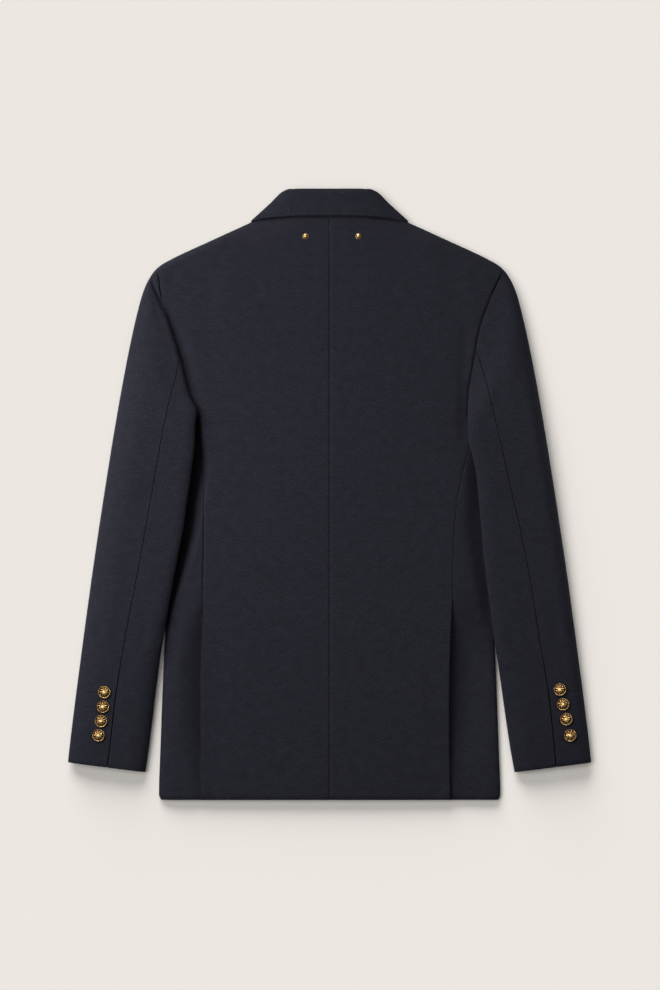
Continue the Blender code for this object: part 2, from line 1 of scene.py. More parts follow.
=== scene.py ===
# %% [markdown]
# # A double breasted blazer, laid flat with its back up
#
# A tailored jacket is a set of flat panels that are sewn into a hollow form. This lesson makes
# each panel as a sheet of cloth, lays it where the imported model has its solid, and then adds what
# a step closer shows: creases, pressed seams, stitches, and buttons of antiqued gilt brass.
#
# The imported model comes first. It is a fixed frame in metres, with +Z up, and no piece of it is
# moved. Each new piece takes the place of one of its nodes.

# %% Load the frame
import math
from collections import namedtuple

import bmesh
import bpy
import numpy as np
from mathutils import Matrix, Vector

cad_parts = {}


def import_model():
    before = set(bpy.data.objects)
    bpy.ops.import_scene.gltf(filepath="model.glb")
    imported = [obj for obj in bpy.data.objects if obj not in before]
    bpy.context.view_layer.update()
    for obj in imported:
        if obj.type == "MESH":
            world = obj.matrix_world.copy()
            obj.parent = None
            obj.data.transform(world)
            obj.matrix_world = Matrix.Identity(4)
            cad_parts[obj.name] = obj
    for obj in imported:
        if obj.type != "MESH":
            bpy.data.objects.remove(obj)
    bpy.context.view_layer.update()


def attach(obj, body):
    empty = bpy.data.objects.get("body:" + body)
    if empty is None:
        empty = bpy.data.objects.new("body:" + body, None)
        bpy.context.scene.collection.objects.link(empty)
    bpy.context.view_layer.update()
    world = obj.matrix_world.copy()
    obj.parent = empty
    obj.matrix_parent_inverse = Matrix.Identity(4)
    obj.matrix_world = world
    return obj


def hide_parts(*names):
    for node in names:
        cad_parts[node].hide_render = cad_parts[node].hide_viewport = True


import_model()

MM = 0.001  # the sizes below are in millimetres

# %% [markdown]
# ## Values that change along the garment
#
# A pattern cutter writes a garment down as widths at a few heights. The same works here: a short
# table has one row for each height y, and a smooth curve runs through its rows. A plain spline
# can swing past its rows and make a bump that nobody drew. This curve takes the harmonic mean of
# the slopes on each side, so it never does.

# %% Curves through tables
def slopes_through(places, values):
    slopes = np.diff(values) / np.diff(places)
    before, after = slopes[:-1], slopes[1:]
    same = before * after > 0
    middle = np.where(same, 2 * before * after / np.where(same, before + after, 1.0), 0.0)
    return np.concatenate([slopes[:1], middle, slopes[-1:]])


def curve(places, values, at):
    """Values at the given places, on a smooth curve that never overshoots its points."""
    places, values = np.asarray(places, float), np.asarray(values, float)
    tangents = slopes_through(places, values)
    at = np.clip(at, places[0], places[-1])
    k = np.clip(np.searchsorted(places, at, "right") - 1, 0, len(places) - 2)
    span = places[k + 1] - places[k]
    t = (at - places[k]) / span
    return ((2 * t ** 3 - 3 * t ** 2 + 1) * values[k]
            + (t ** 3 - 2 * t ** 2 + t) * span * tangents[k]
            + (3 * t ** 2 - 2 * t ** 3) * values[k + 1]
            + (t ** 3 - t ** 2) * span * tangents[k + 1])


def column(rows, name, y):
    return curve([row.y for row in rows], [getattr(row, name) for row in rows], y)


def ease(t):
    """0 to 1 with level ends."""
    t = np.clip(t, 0.0, 1.0)
    return t * t * (3 - 2 * t)


def fade(value, start, end):
    """0 at start and 1 at end, eased between them. The end may lie on either side."""
    return ease((value - start) / (end - start))


def band(value, limits):
    """1 between the two middle limits, easing to 0 at the outer ones."""
    return fade(value, limits[0], limits[1]) * fade(value, limits[3], limits[2])


def round_over(depth, reach):
    """Height of a quarter round, 0 at the fold and 1 at reach inside it."""
    t = np.clip(depth / reach, 0.0, 1.0)
    return np.sqrt(1 - (1 - t) ** 2)


def mix(a, b, t):
    return a + (b - a) * t


def side_name(side):
    return "left" if side < 0 else "right"


print("half way up an ease:", ease(0.5))

# %% [markdown]
# ## The garment's sizes
#
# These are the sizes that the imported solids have, so that each sheet of cloth lies on its solid.
# x is measured from the middle towards one side, and y runs from the hem up to the collar.

# %% Outline and heights
LENGTH = 744.8
HEM = -LENGTH / 2
COLLAR_FOLD = LENGTH / 2
UNDERARM = 84.0
SHOULDER_POINT = 268.0
NECK_SEAM = 345.0
TOP_FRONT = 326.0
BLEND_TOP = 140.0

Outline = namedtuple("Outline", "y half")
OUTLINE = (
    Outline(-327.0, 318.8), Outline(-312.0, 317.3), Outline(-202.0, 303.5), Outline(-92.0, 288.5),
    Outline(17.0, 272.1), Outline(91.0, 260.0), Outline(164.0, 246.6), Outline(200.0, 239.1),
    Outline(231.0, 231.6), Outline(246.0, 227.2), Outline(258.0, 222.2), Outline(267.5, 216.7),
    Outline(273.6, 211.9), Outline(279.7, 204.5), Outline(287.0, 191.5), Outline(310.2, 141.6),
    Outline(321.2, 117.6), Outline(328.5, 101.5), Outline(332.5, 93.0), Outline(338.0, 80.0),
    Outline(345.0, 64.0),
)
Trunk = namedtuple("Trunk", "y fold crown")
TRUNK = (
    Trunk(HEM, 205.5, 12.0), Trunk(-366.0, 208.0, 12.6), Trunk(-312.0, 206.3, 13.6),
    Trunk(-202.0, 202.0, 16.0), Trunk(-160.0, 199.6, 16.8), Trunk(-129.0, 198.0, 17.2),
    Trunk(-62.0, 194.5, 18.2), Trunk(-7.0, 191.5, 18.6), Trunk(84.0, 192.0, 19.2),
    Trunk(170.0, 192.0, 20.5), Trunk(260.0, 192.0, 22.0), Trunk(345.0, 192.0, 22.0),
)
print("outline widest at", 2 * max(row.half for row in OUTLINE), "mm")

# %% Seams
Seam = namedtuple("Seam", "y left right")
SIDE_SEAM = (
    Seam(HEM, 156.4, 146.6), Seam(-349.0, 156.6, 146.2), Seam(-312.0, 156.8, 145.6),
    Seam(-260.0, 157.0, 145.3), Seam(-220.0, 157.0, 145.9), Seam(-202.0, 156.6, 146.2),
    Seam(-180.0, 155.6, 146.8), Seam(-166.0, 154.9, 147.4), Seam(-147.0, 154.6, 148.4),
    Seam(-129.0, 154.5, 149.2), Seam(-80.0, 153.6, 150.4), Seam(-44.0, 153.2, 152.0),
    Seam(-22.0, 153.2, 153.8), Seam(-7.0, 153.4, 155.4), Seam(11.0, 154.0, 158.9),
    Seam(30.0, 155.0, 163.0), Seam(48.0, 156.4, 167.5), Seam(66.0, 158.0, 172.0),
    Seam(84.0, 159.5, 175.0),
)
ARMHOLE = (
    Seam(84.0, 163.2, 168.0), Seam(99.0, 161.5, 168.6), Seam(121.0, 170.3, 169.6),
    Seam(161.0, 180.1, 176.0), Seam(200.0, 192.3, 183.0), Seam(231.0, 202.5, 193.5),
    Seam(246.0, 206.6, 199.5), Seam(268.0, 209.7, 210.0), Seam(272.5, 212.4, 212.4),
)
SLEEVE_INNER = (
    Seam(-339.0, 224.7, 225.5), Seam(-312.0, 220.6, 220.6), Seam(-202.0, 206.5, 204.4),
    Seam(-166.0, 200.6, 199.0), Seam(-129.0, 194.1, 194.3), Seam(-105.0, 189.8, 191.2),
    Seam(-80.0, 185.0, 188.0), Seam(-44.0, 178.0, 184.9), Seam(-7.0, 172.8, 181.5),
    Seam(11.0, 170.0, 179.8), Seam(30.0, 167.6, 177.4), Seam(48.0, 165.0, 173.5),
    Seam(66.0, 163.6, 168.8), Seam(84.0, 163.2, 168.0),
)
BACK_SEAM = (
    Seam(-334.0, 271.2, 275.8), Seam(-300.0, 266.6, 272.6), Seam(-251.0, 261.0, 267.4),
    Seam(-214.0, 255.3, 261.8), Seam(-178.0, 249.2, 255.6), Seam(-141.0, 242.3, 249.6),
    Seam(-105.0, 235.2, 243.8), Seam(-68.0, 228.4, 236.9), Seam(-31.0, 221.8, 229.2),
    Seam(5.0, 215.3, 220.6), Seam(42.0, 208.9, 212.4), Seam(78.0, 202.3, 204.2),
    Seam(115.0, 194.4, 195.4), Seam(139.0, 187.8, 189.6), Seam(152.0, 184.9, 186.0),
    Seam(165.0, 182.6, 181.8), Seam(175.0, 181.0, 177.8),
)
Height = namedtuple("Height", "y crown")
CUFF = -326.6
SLEEVE_TOP = 271.6
SLEEVE_HEIGHT = (
    Height(CUFF, 17.5), Height(-290.0, 20.0), Height(-200.0, 24.0), Height(-30.0, 29.0),
    Height(84.0, 32.0), Height(130.0, 31.0), Height(200.0, 28.5), Height(SLEEVE_TOP, 27.0),
)
print("sleeve stands", max(row.crown for row in SLEEVE_HEIGHT), "mm high")

# %% [markdown]
# ## Creases
#
# Good cloth that is laid out by hand still keeps a few soft waves. They could come from a cloth
# simulation, but here each has a place that the eye expects: below the shoulders, beside the
# armholes and at the elbows. So each is one row of a table, a line from end to end with a width and
# a height, and its cross-section is a soft bell. A negative height is a trough.

# %% Creases
Crease = namedtuple("Crease", "x0 y0 x1 y1 width height")
BACK_CREASES = (
    Crease(124.0, 345.0, 131.0, 205.0, 11.0, 0.55),
    Crease(146.0, 318.0, 152.0, 170.0, 12.0, -0.6),
    Crease(172.0, 300.0, 168.0, 190.0, 9.0, 0.5),
    Crease(164.0, 240.0, 163.0, 40.0, 7.0, -1.8),
    Crease(84.0, 330.0, 70.0, 130.0, 22.0, -0.3),
    Crease(-118.0, 335.0, -128.0, 190.0, 13.0, 0.45),
    Crease(-150.0, 305.0, -146.0, 160.0, 14.0, -0.5),
    Crease(-206.0, 262.0, -155.0, 92.0, 8.0, -2.2),
    Crease(-60.0, 325.0, -66.0, 160.0, 20.0, -0.25),
    Crease(-30.0, 40.0, -120.0, -150.0, 26.0, 0.35),
    Crease(40.0, -60.0, 110.0, -260.0, 24.0, -0.3),
    Crease(-120.0, -180.0, -100.0, -360.0, 18.0, 0.35),
    Crease(96.0, -200.0, 118.0, -365.0, 16.0, 0.4),
    Crease(186.0, -110.0, 190.0, -400.0, 22.0, -1.6),
)
FRONT_CREASES = (
    Crease(-120.0, -330.0, -96.0, -120.0, 15.0, 0.5),
    Crease(124.0, -340.0, 104.0, -60.0, 13.0, 0.6),
    Crease(-60.0, -366.0, -36.0, -225.0, 11.0, 0.4),
    Crease(30.0, -362.0, 22.0, -250.0, 9.0, 0.35),
    Crease(-150.0, 60.0, -110.0, 190.0, 14.0, 0.6),
    Crease(140.0, 40.0, 122.0, 210.0, 12.0, 0.55),
)
SLEEVE_CREASES = (
    Crease(-226.5, 282.0, -197.5, 215.0, 2.1, -5.0),
    Crease(-238.0, 264.0, -208.0, 212.0, 6.0, 2.2),
    Crease(-192.0, 22.0, -240.0, -22.0, 10.0, -0.7),
    Crease(-200.0, -18.0, -246.0, -62.0, 9.0, 0.5),
    Crease(-252.0, -120.0, -262.0, -250.0, 11.0, 0.4),
    Crease(196.0, 6.0, 240.0, -34.0, 11.0, -0.6),
    Crease(204.0, -52.0, 256.0, -96.0, 10.0, 0.5),
    Crease(216.0, 200.0, 224.0, 60.0, 9.0, 0.4),
    Crease(206.0, 176.0, 204.0, 92.0, 7.0, -0.45),
    Crease(262.0, -140.0, 274.0, -262.0, 12.0, -0.4),
)


CREASE_FADE = 3.0  # a crease fades out over a third of its length at each end


def creased(x, y, creases):
    """Height that a table of creases adds at x and y."""
    total = np.zeros(np.broadcast(x, y).shape)
    for crease in creases:
        dx, dy = crease.x1 - crease.x0, crease.y1 - crease.y0
        length = math.hypot(dx, dy)
        along = ((x - crease.x0) * dx + (y - crease.y0) * dy) / length ** 2
        beside = ((x - crease.x0) * dy - (y - crease.y0) * dx) / length
        ends = ease(CREASE_FADE * along) * ease(CREASE_FADE - CREASE_FADE * along)
        total += crease.height * np.exp(-(beside / crease.width) ** 2) * ends
    return total


print(len(BACK_CREASES) + len(FRONT_CREASES) + len(SLEEVE_CREASES), "creases")

# %% [markdown]
# ## How far inside the outline
#
# Cloth that is pressed flat rounds over at its edges, so its height depends on how far inside the
# outline a place lies. At the shoulder point the side meets the shoulder, and the nearest edge
# changes from one to the other there, which would leave a sharp ridge. So the distances are worked
# out once on a grid, like the contours of a map, and the map is blurred a little.

# %% Contour maps
SLOPE_STEP = 3.0
CELL = 2.0
MAP_X = np.arange(-24.0, 346.0, CELL)
MAP_Y = np.arange(-400.0, 400.0, CELL)
EDGE_STEP = 1.0
BLUR_PASSES = 16
NEAR_EDGE = 3.0
FAR_EDGE = 14.0


def contour_map(edge_at):
    """A grid of how far inside an edge each place lies, with its corners blurred."""
    y = np.arange(MAP_Y[0], NECK_SEAM, EDGE_STEP)
    edge = edge_at(y)
    depth = np.array([np.hypot(MAP_X[:, None] - edge, row - y).min(axis=1) for row in MAP_Y])
    depth *= np.where(np.abs(MAP_X) < edge_at(MAP_Y)[:, None], 1.0, -1.0)
    for _ in range(BLUR_PASSES):
        depth[1:-1] = depth[1:-1] / 2 + (depth[:-2] + depth[2:]) / 4
        depth[:, 1:-1] = depth[:, 1:-1] / 2 + (depth[:, :-2] + depth[:, 2:]) / 4
    return depth


def read_map(grid, x, y):
    """The value of a map between its grid points."""
    x, y = np.broadcast_arrays((np.abs(x) - MAP_X[0]) / CELL, (y - MAP_Y[0]) / CELL)
    column_at = np.clip(x.astype(int), 0, len(MAP_X) - 2)
    row_at = np.clip(y.astype(int), 0, len(MAP_Y) - 2)
    fx, fy = np.clip(x - column_at, 0.0, 1.0), np.clip(y - row_at, 0.0, 1.0)
    low = mix(grid[row_at, column_at], grid[row_at, column_at + 1], fx)
    high = mix(grid[row_at + 1, column_at], grid[row_at + 1, column_at + 1], fx)
    return mix(low, high, fy)


def edge_slant(y):
    """Share of a distance along x that lies square to the outline."""
    run = column(OUTLINE, "half", y + SLOPE_STEP) - column(OUTLINE, "half", y - SLOPE_STEP)
    return np.where(y <= UNDERARM, 1.0, 1 / np.hypot(1, run / (2 * SLOPE_STEP)))


def near_or_far(near, grid, x, y):
    """How far inside an edge a place lies: exact beside the edge, and from the map further in."""
    far = read_map(grid, x, y)
    return mix(near, far, fade(far, NEAR_EDGE, FAR_EDGE))


outline_map = contour_map(lambda y: column(OUTLINE, "half", y))
print("map of", outline_map.shape, "places, deepest", round(float(outline_map.max())), "mm inside")

# %% [markdown]
# ## How high the trunk lies
#
# The trunk is a flat hollow. Its back is crowned, rounds over at each side and runs under into the
# fronts, which lie on the floor in layers: the wearer's right front under the left one, and each
# lapel under its own front. Every height below comes from x and y alone, so panels that share a
# seam also share its height.

# %% Trunk
EDGE_SHARE = 0.42
BACK_ROUND = 1.7
SHOULDER_ROUND = 0.38
FRONT_ROUND = 0.75
ROUND_HEIGHTS = (150.0, 275.0)
ROUND_HALVES = (88.0, 132.0)
CROWN_FALL = 0.16
SHOULDER_HALF = 240.0
SHOULDER_LEVEL = 204.0
SLEEVE_INSET = 2.8
INSET_FADE = (272.0, 260.0)
LAYER = 2.4
SEAM_GAP = 0.3
HEM_ROLL = 0.9
HEM_ROLL_REACH = 5.5


def trunk_edge(y):
    """Half width at which the trunk turns under."""
    outline = column(OUTLINE, "half", y)
    inset = SLEEVE_INSET * fade(y, *INSET_FADE)
    return mix(column(TRUNK, "fold", y), outline - inset, fade(y, UNDERARM, BLEND_TOP))


trunk_map = contour_map(trunk_edge)


def edge_depth(x, y):
    return near_or_far((trunk_edge(y) - np.abs(x)) * edge_slant(y), trunk_map, x, y)


def back_top(x, y):
    """Height of the back before it rounds over at its edge."""
    half = mix(column(TRUNK, "fold", y), SHOULDER_HALF, fade(y, UNDERARM, SHOULDER_LEVEL))
    return column(TRUNK, "crown", y) * (1 - CROWN_FALL * np.minimum(np.abs(x) / half, 1.0) ** 2)


def back_round(x, y):
    """Reach of the rounding as a share of the crown: long at the sides, short at the shoulders."""
    return mix(BACK_ROUND, SHOULDER_ROUND, fade(y, *ROUND_HEIGHTS) * fade(np.abs(x), *ROUND_HALVES))


def hem_roll(y):
    """How far the pressed hem rolls down."""
    return HEM_ROLL * (1 - np.clip((y - HEM) / HEM_ROLL_REACH, 0.0, 1.0)) ** 2


def back_height(x, y):
    """Outer height of the back and of the side body on top of it, without creases."""
    crown = column(TRUNK, "crown", y)
    share = round_over(edge_depth(x, y), crown * back_round(x, y))
    return mix(crown * EDGE_SHARE, back_top(x, y), share)


print("crown at the hem:", back_height(0.0, HEM), "and shoulder:", back_height(0.0, SHOULDER_POINT))

# %% Heights of the fronts
FRONT_LAP = 74.0
BREAK = 30.0
COLLAR_HALF = 50.0
LEVEL_HALF = 120.0
LEVEL_END = 150.0
BUTTON_RADIUS = 7.8
BUTTON_HEIGHT = 4.4
FRONT_BUTTON_X = 58.0
FRONT_BUTTON_Y = (5.0, -95.0, -195.0)
FRONT_BUTTON_SCALE = 1.26
BUTTON_BAND = (-260.0, -215.0, 18.0, 45.0)
LEFT_LAPEL_FALL = (235.0, 285.0)
LAPEL_RISE_LENGTH = 14.0
FRONT_CREASE_EDGE = 60.0


def lapel_below(y):
    """1 where a lapel lies under its front."""
    return fade(y, BREAK - LAPEL_RISE_LENGTH, BREAK)


def lapel_rise(side, y):
    """Height of a lapel's face. The right one lies lowest and rises over the buttons."""
    right = (BUTTON_HEIGHT + SEAM_GAP) * FRONT_BUTTON_SCALE * band(y, BUTTON_BAND)
    if side > 0:
        return right
    return (right + LAYER * lapel_below(y) + LAYER) * (1 - fade(y, *LEFT_LAPEL_FALL))


def front_rise(side, y):
    """Height of a front's face where the layers are stacked."""
    return lapel_rise(side, y) + LAYER * lapel_below(y)


def front_height(side, x, y):
    """Outer height of the underside, with its creases lifting it off the floor."""
    crown, depth = column(TRUNK, "crown", y), edge_depth(x, y)
    level = front_rise(side, y) * (1 - fade(np.abs(x), LEVEL_HALF, LEVEL_END))
    level = level + creased(side * x, y, FRONT_CREASES) * ease(depth / FRONT_CREASE_EDGE)
    return mix(crown * EDGE_SHARE, level, round_over(depth, crown * FRONT_ROUND))


def roll_line(y):
    """Where a front turns back as its lapel, measured from the middle towards its own side."""
    slope = (COLLAR_HALF + FRONT_LAP) / (COLLAR_FOLD - BREAK)
    return -FRONT_LAP + np.maximum(y - BREAK, 0.0) * slope


print("the left front lies", front_rise(-1, -100.0), "mm up over the buttons")

# %% [markdown]
# ## The hollows beside the sleeves
#
# On the wearer's left the side body sinks in beside the sleeve, and the sleeve's inner fold hangs
# over the hollow, so hardly any light gets in. Painting it black would look wrong from any other
# side. The side body really goes down here, until it almost touches the front. The right side has
# a hollow too, but a shallower one.

# %% Hollows
Hollow = namedtuple("Hollow", "y lip reach share")
HOLLOWS = {
    -1: (
        Hollow(-190.0, 203.0, 8.0, 0.0), Hollow(-160.0, 196.0, 8.0, 0.35),
        Hollow(-129.0, 185.5, 9.0, 0.8), Hollow(-105.0, 175.5, 13.0, 0.95),
        Hollow(-80.0, 165.5, 17.0, 1.0), Hollow(-44.0, 156.5, 16.0, 1.0),
        Hollow(-7.0, 149.0, 20.0, 1.0), Hollow(30.0, 144.5, 14.0, 1.0),
        Hollow(66.0, 150.5, 11.0, 1.0), Hollow(84.0, 154.0, 8.0, 0.95),
        Hollow(98.0, 156.5, 6.0, 0.0),
    ),
    1: (
        Hollow(-200.0, 194.0, 10.0, 0.0), Hollow(-166.0, 187.0, 18.0, 0.4),
        Hollow(-129.0, 179.0, 23.0, 0.55), Hollow(-80.0, 166.0, 30.0, 0.6),
        Hollow(-44.0, 158.5, 36.0, 0.65), Hollow(11.0, 162.0, 28.0, 0.5),
        Hollow(36.0, 165.0, 18.0, 0.22), Hollow(60.0, 166.0, 12.0, 0.0),
    ),
}
HOLLOW_FLOOR = 3.4


def sunk(side, x, y, z):
    """Lower a side body into its hollow."""
    rows = HOLLOWS[side]
    lowest = front_height(side, x, y) + HOLLOW_FLOOR
    share = column(rows, "share", y) * ease((x - column(rows, "lip", y)) / column(rows, "reach", y))
    return z - share * np.maximum(z - lowest, 0.0)


print("the hollows end at y", [HOLLOWS[side][-1].y for side in (-1, 1)], "mm")

# %% [markdown]
# ## Lines that are pressed in
#
# A few dark lines have no width of their own: the crease under the collar's edge, the ditch of a
# pressed seam, and the pinch where a sleeve is set into its armhole. Each could be a texture, but
# a texture stays flat when the light turns. Here each is a narrow valley in the cloth, a bell
# across its line and eased off at its ends, in the same heights as all the rest.

# %% Pressed lines
FallEdge = namedtuple("FallEdge", "x edge")
FALL_EDGE = (
    FallEdge(0.0, 337.9), FallEdge(24.0, 337.9), FallEdge(47.0, 337.4), FallEdge(72.0, 335.3),
    FallEdge(95.0, 330.9),
)
FALL_DENT = 7.5
FALL_DENT_WIDTH = 1.35
FALL_DENT_FADE = (106.0, 50.0)
CENTRE_GROOVE = 0.9
CENTRE_GROOVE_WIDTH = 0.9
ARMHOLE_PINCH = {-1: 2.4, 1: 1.9}
PINCH_BAND = {-1: (228.0, 244.0, 262.0, 271.0), 1: (82.0, 98.0, 262.0, 271.0)}
PINCH_WIDTH = 2.2
SIDE_GROOVE = {-1: 1.3, 1: 0.4}
SIDE_GROOVE_WIDTH = 1.1
SIDE_GROOVE_BAND = (-132.0, -116.0, 36.0, 60.0)
CREASE_EDGE = 14.0


def valley(away, depth, width):
    """Depth of a narrow valley at some distance from its middle line."""
    return depth * np.exp(-(away / width) ** 2)


def pressed_in(side, x, y):
    """Depth of the dent under the collar's edge, the seams' grooves and the armhole's pinch."""
    edge = np.interp(np.abs(x), [row.x for row in FALL_EDGE], [row.edge for row in FALL_EDGE])
    seam, armhole = column(SIDE_SEAM, side_name(side), y), column(ARMHOLE, side_name(side), y)
    dent = valley(y - edge, FALL_DENT, FALL_DENT_WIDTH) * fade(np.abs(x), *FALL_DENT_FADE)
    pinch = valley(x - armhole, ARMHOLE_PINCH[side], PINCH_WIDTH) * band(y, PINCH_BAND[side])
    groove = valley(x - seam, SIDE_GROOVE[side], SIDE_GROOVE_WIDTH) * band(y, SIDE_GROOVE_BAND)
    return dent + pinch + groove + valley(x, CENTRE_GROOVE, CENTRE_GROOVE_WIDTH)


def back_face(side, x, y):
    """Outer height of the back with its creases, hollow and pressed hem."""
    creases = creased(side * x, y, BACK_CREASES) * ease(edge_depth(x, y) / CREASE_EDGE)
    z = back_height(x, y) + creases
    return sunk(side, x, y, z) - hem_roll(y) - pressed_in(side, x, y)


print("side bodies sink to", back_face(-1, 165.0, 11.0), "and", back_face(1, 178.0, -44.0), "mm")

# %% [markdown]
# ## From rows of points to a sheet of cloth
#
# Each panel is a grid. A row of points runs across the panel and over its fold, and the next row
# lies a few millimetres further up. The points of a row are first set close together, then spaced
# along the cloth's own length, so that the grid is as even round a fold as on the flat. That length
# also becomes the UV map, in metres, and the weave will follow it like real thread. Solidify gives
# the sheet its thickness, and a small bevel turns the cut edge into a pressed one.

# %% Points across a panel
DENSE = 260
ACROSS = np.linspace(0.0, 1.0, DENSE)
QUARTER = np.linspace(0.0, 1.0, DENSE) * math.pi / 2
TURNED_EDGE = 1.3
TURN_FADE = 4.0
CLOSER_ENDS = 0.35


def even_shares(count):
    """Shares from 0 to 1 that lie a little closer at both ends."""
    t = np.linspace(0.0, 1.0, count)
    return t - CLOSER_ENDS * np.sin(2 * math.pi * t) / (2 * math.pi)


def spaced(path, shares):
    """Space each row's points along the cloth, and give how far along each one lies."""
    steps = np.linalg.norm(np.diff(path, axis=1), axis=2)
    length = np.insert(np.cumsum(steps, axis=1), 0, 0.0, axis=1)
    rows = np.empty((len(path), len(shares), 3))
    for k, run in enumerate(length):
        for axis in range(3):
            rows[k, :, axis] = np.interp(shares * run[-1], run, path[k, :, axis])
    return rows, shares * length[:, -1:]


def folded(over, under, over_count, under_count, extra=()):
    """Space the two sides of a fold one by one, so that the fold keeps its own points."""
    top, top_along = spaced(over, np.sort(np.concatenate([even_shares(over_count), extra])))
    under = np.concatenate([over[:, -1:], under], axis=1)
    bottom, bottom_along = spaced(under, even_shares(under_count))
    return (np.concatenate([top, bottom[:, 1:]], axis=1),
            np.concatenate([top_along, top_along[:, -1:] + bottom_along[:, 1:]], axis=1))


def turned_edge(heights):
    """Heights of a seam edge that is turned down, from the end of each row."""
    return heights[:, -1:] - TURNED_EDGE * ACROSS[1:]


def world(side, x, y, z):
    """Points in millimetres, one row for each y."""
    x, y, z = np.broadcast_arrays(x, y, z)
    return np.stack([side * x, y, z], axis=-1)


print("a row starts with", DENSE, "points a side")

# %% Rows up a panel
TINY = 0.01
FINE_STEP = 1.2
FINE_LOW = 9.6
FINE_HIGH = 4.8


def rows_between(low, high, step, fine_ends=True):
    """Heights from low to high, closer near the ends where these have a pressed edge."""
    inner_low = low + FINE_LOW if fine_ends else low
    inner_high = high - FINE_HIGH if fine_ends else high
    ends_low = np.arange(low, inner_low - TINY, FINE_STEP)
    ends_high = np.arange(inner_high + FINE_STEP, high + TINY, FINE_STEP)
    middle = np.linspace(inner_low, inner_high, int((inner_high - inner_low) / step) + 1)
    return np.concatenate([ends_low, middle, ends_high])[:, None]


print(len(rows_between(0.0, 100.0, 5.0)), "rows in 100 mm at a step of 5")

# %% Cloth maker
WALL = 1.5
EDGE_BEVEL = 0.55
BEVEL_FROM = math.radians(50)


def lay_cloth(name, rows, along, flip, thickness=WALL, offset=-1.0):
    """Skin a grid of points, give it the UV map and the thickness of cloth."""
    count, width = rows.shape[:2]
    mesh = bpy.data.meshes.new(name)
    index = np.arange(count * width).reshape(count, width)
    quads = [index[:-1, :-1], index[:-1, 1:], index[1:, 1:], index[1:, :-1]]
    quads = np.stack(quads, axis=-1).reshape(-1, 4)
    if flip:
        quads = quads[:, ::-1]
    mesh.from_pydata((rows.reshape(-1, 3) * MM).tolist(), [], quads.tolist())
    steps = np.linalg.norm(np.diff(rows[:, width // 2], axis=0), axis=1)
    up = np.insert(np.cumsum(steps), 0, 0.0)
    flat = np.stack([along, np.broadcast_to(up[:, None], along.shape)], axis=-1).reshape(-1, 2) * MM
    layer = mesh.uv_layers.new(name="Cloth")
    layer.data.foreach_set("uv", flat[quads.reshape(-1)].reshape(-1))
    mesh.shade_smooth()
    piece = bpy.data.objects.new(name, mesh)
    bpy.context.scene.collection.objects.link(piece)
    wall = piece.modifiers.new("Thickness", "SOLIDIFY")
    wall.thickness = thickness * MM
    wall.offset = offset
    edge = piece.modifiers.new("Pressed edge", "BEVEL")
    edge.width = EDGE_BEVEL * MM
    edge.segments = 2
    edge.limit_method = "ANGLE"
    edge.angle_limit = BEVEL_FROM
    bpy.context.view_layer.objects.active = piece
    for modifier in list(piece.modifiers):
        bpy.ops.object.modifier_apply(modifier=modifier.name)
    return piece


print("a sheet is", WALL, "mm thick")

# %% [markdown]
# ## The back
#
# The back is cut in two, with a seam down the middle. Each half runs from there to the side seam,
# up the armhole, and over the shoulder, where it turns under to meet the front. Below the waist its
# edge is free: that is the side vent, and the side body passes under it. A grid shows a sharp form
# only where it has points for it. So extra rows lie where the shoulder turns and below the collar,
# and extra columns lie at the centre seam and at the armhole.

# %% Back
SLEEVE_LAP = 4.0
ARMHOLE_GAP = 0.4
LAP_FADE = (230.0, 248.0)
TOP_LAP = 2.0
TOP_LAP_LENGTH = 0.6
ARMHOLE_START = 92.0
SHOULDER_WRAP = 30.0
WRAP_BAND = (270.5, 276.5, 327.0, 334.0)
ROW_STEP = 3.2
VENT_TOP = -135.0
VENT_LIFT = 0.7
VENT_LIFT_LENGTH = 60.0
VENT_LIFT_REACH = 16.0
CORNER_ROWS = np.array([[270.4], [271.0], [271.6], [272.2], [272.8], [273.5], [274.4], [275.6]])
FALL_ROWS = np.arange(328.0, 342.0, 0.9)[:, None]
CENTRE_GAP = 0.1
NECK_GAP = 0.03
NECK_GAP_FADE = (250.0, 280.0)
SEAM_SHARES = (0.0018, 0.0036, 0.0055, 0.0078, 0.955, 0.963, 0.970, 0.977, 0.984, 0.991)


def shoulder_wrap(y):
    """How far the back turns under along the shoulder."""
    return SHOULDER_WRAP * band(y, WRAP_BAND)


def back_limit(side, y):
    """Outer edge of the back: side seam, armhole, then the shoulder's fold."""
    seam = column(SIDE_SEAM, side_name(side), y) - SEAM_GAP / 2
    lap = mix(SLEEVE_LAP, -ARMHOLE_GAP, fade(y, *LAP_FADE))
    lap = lap + TOP_LAP * fade(y, SLEEVE_TOP - TOP_LAP_LENGTH, SLEEVE_TOP)
    armhole = column(ARMHOLE, side_name(side), y) + lap
    return np.minimum(mix(seam, armhole, fade(y, UNDERARM, ARMHOLE_START)), trunk_edge(y))


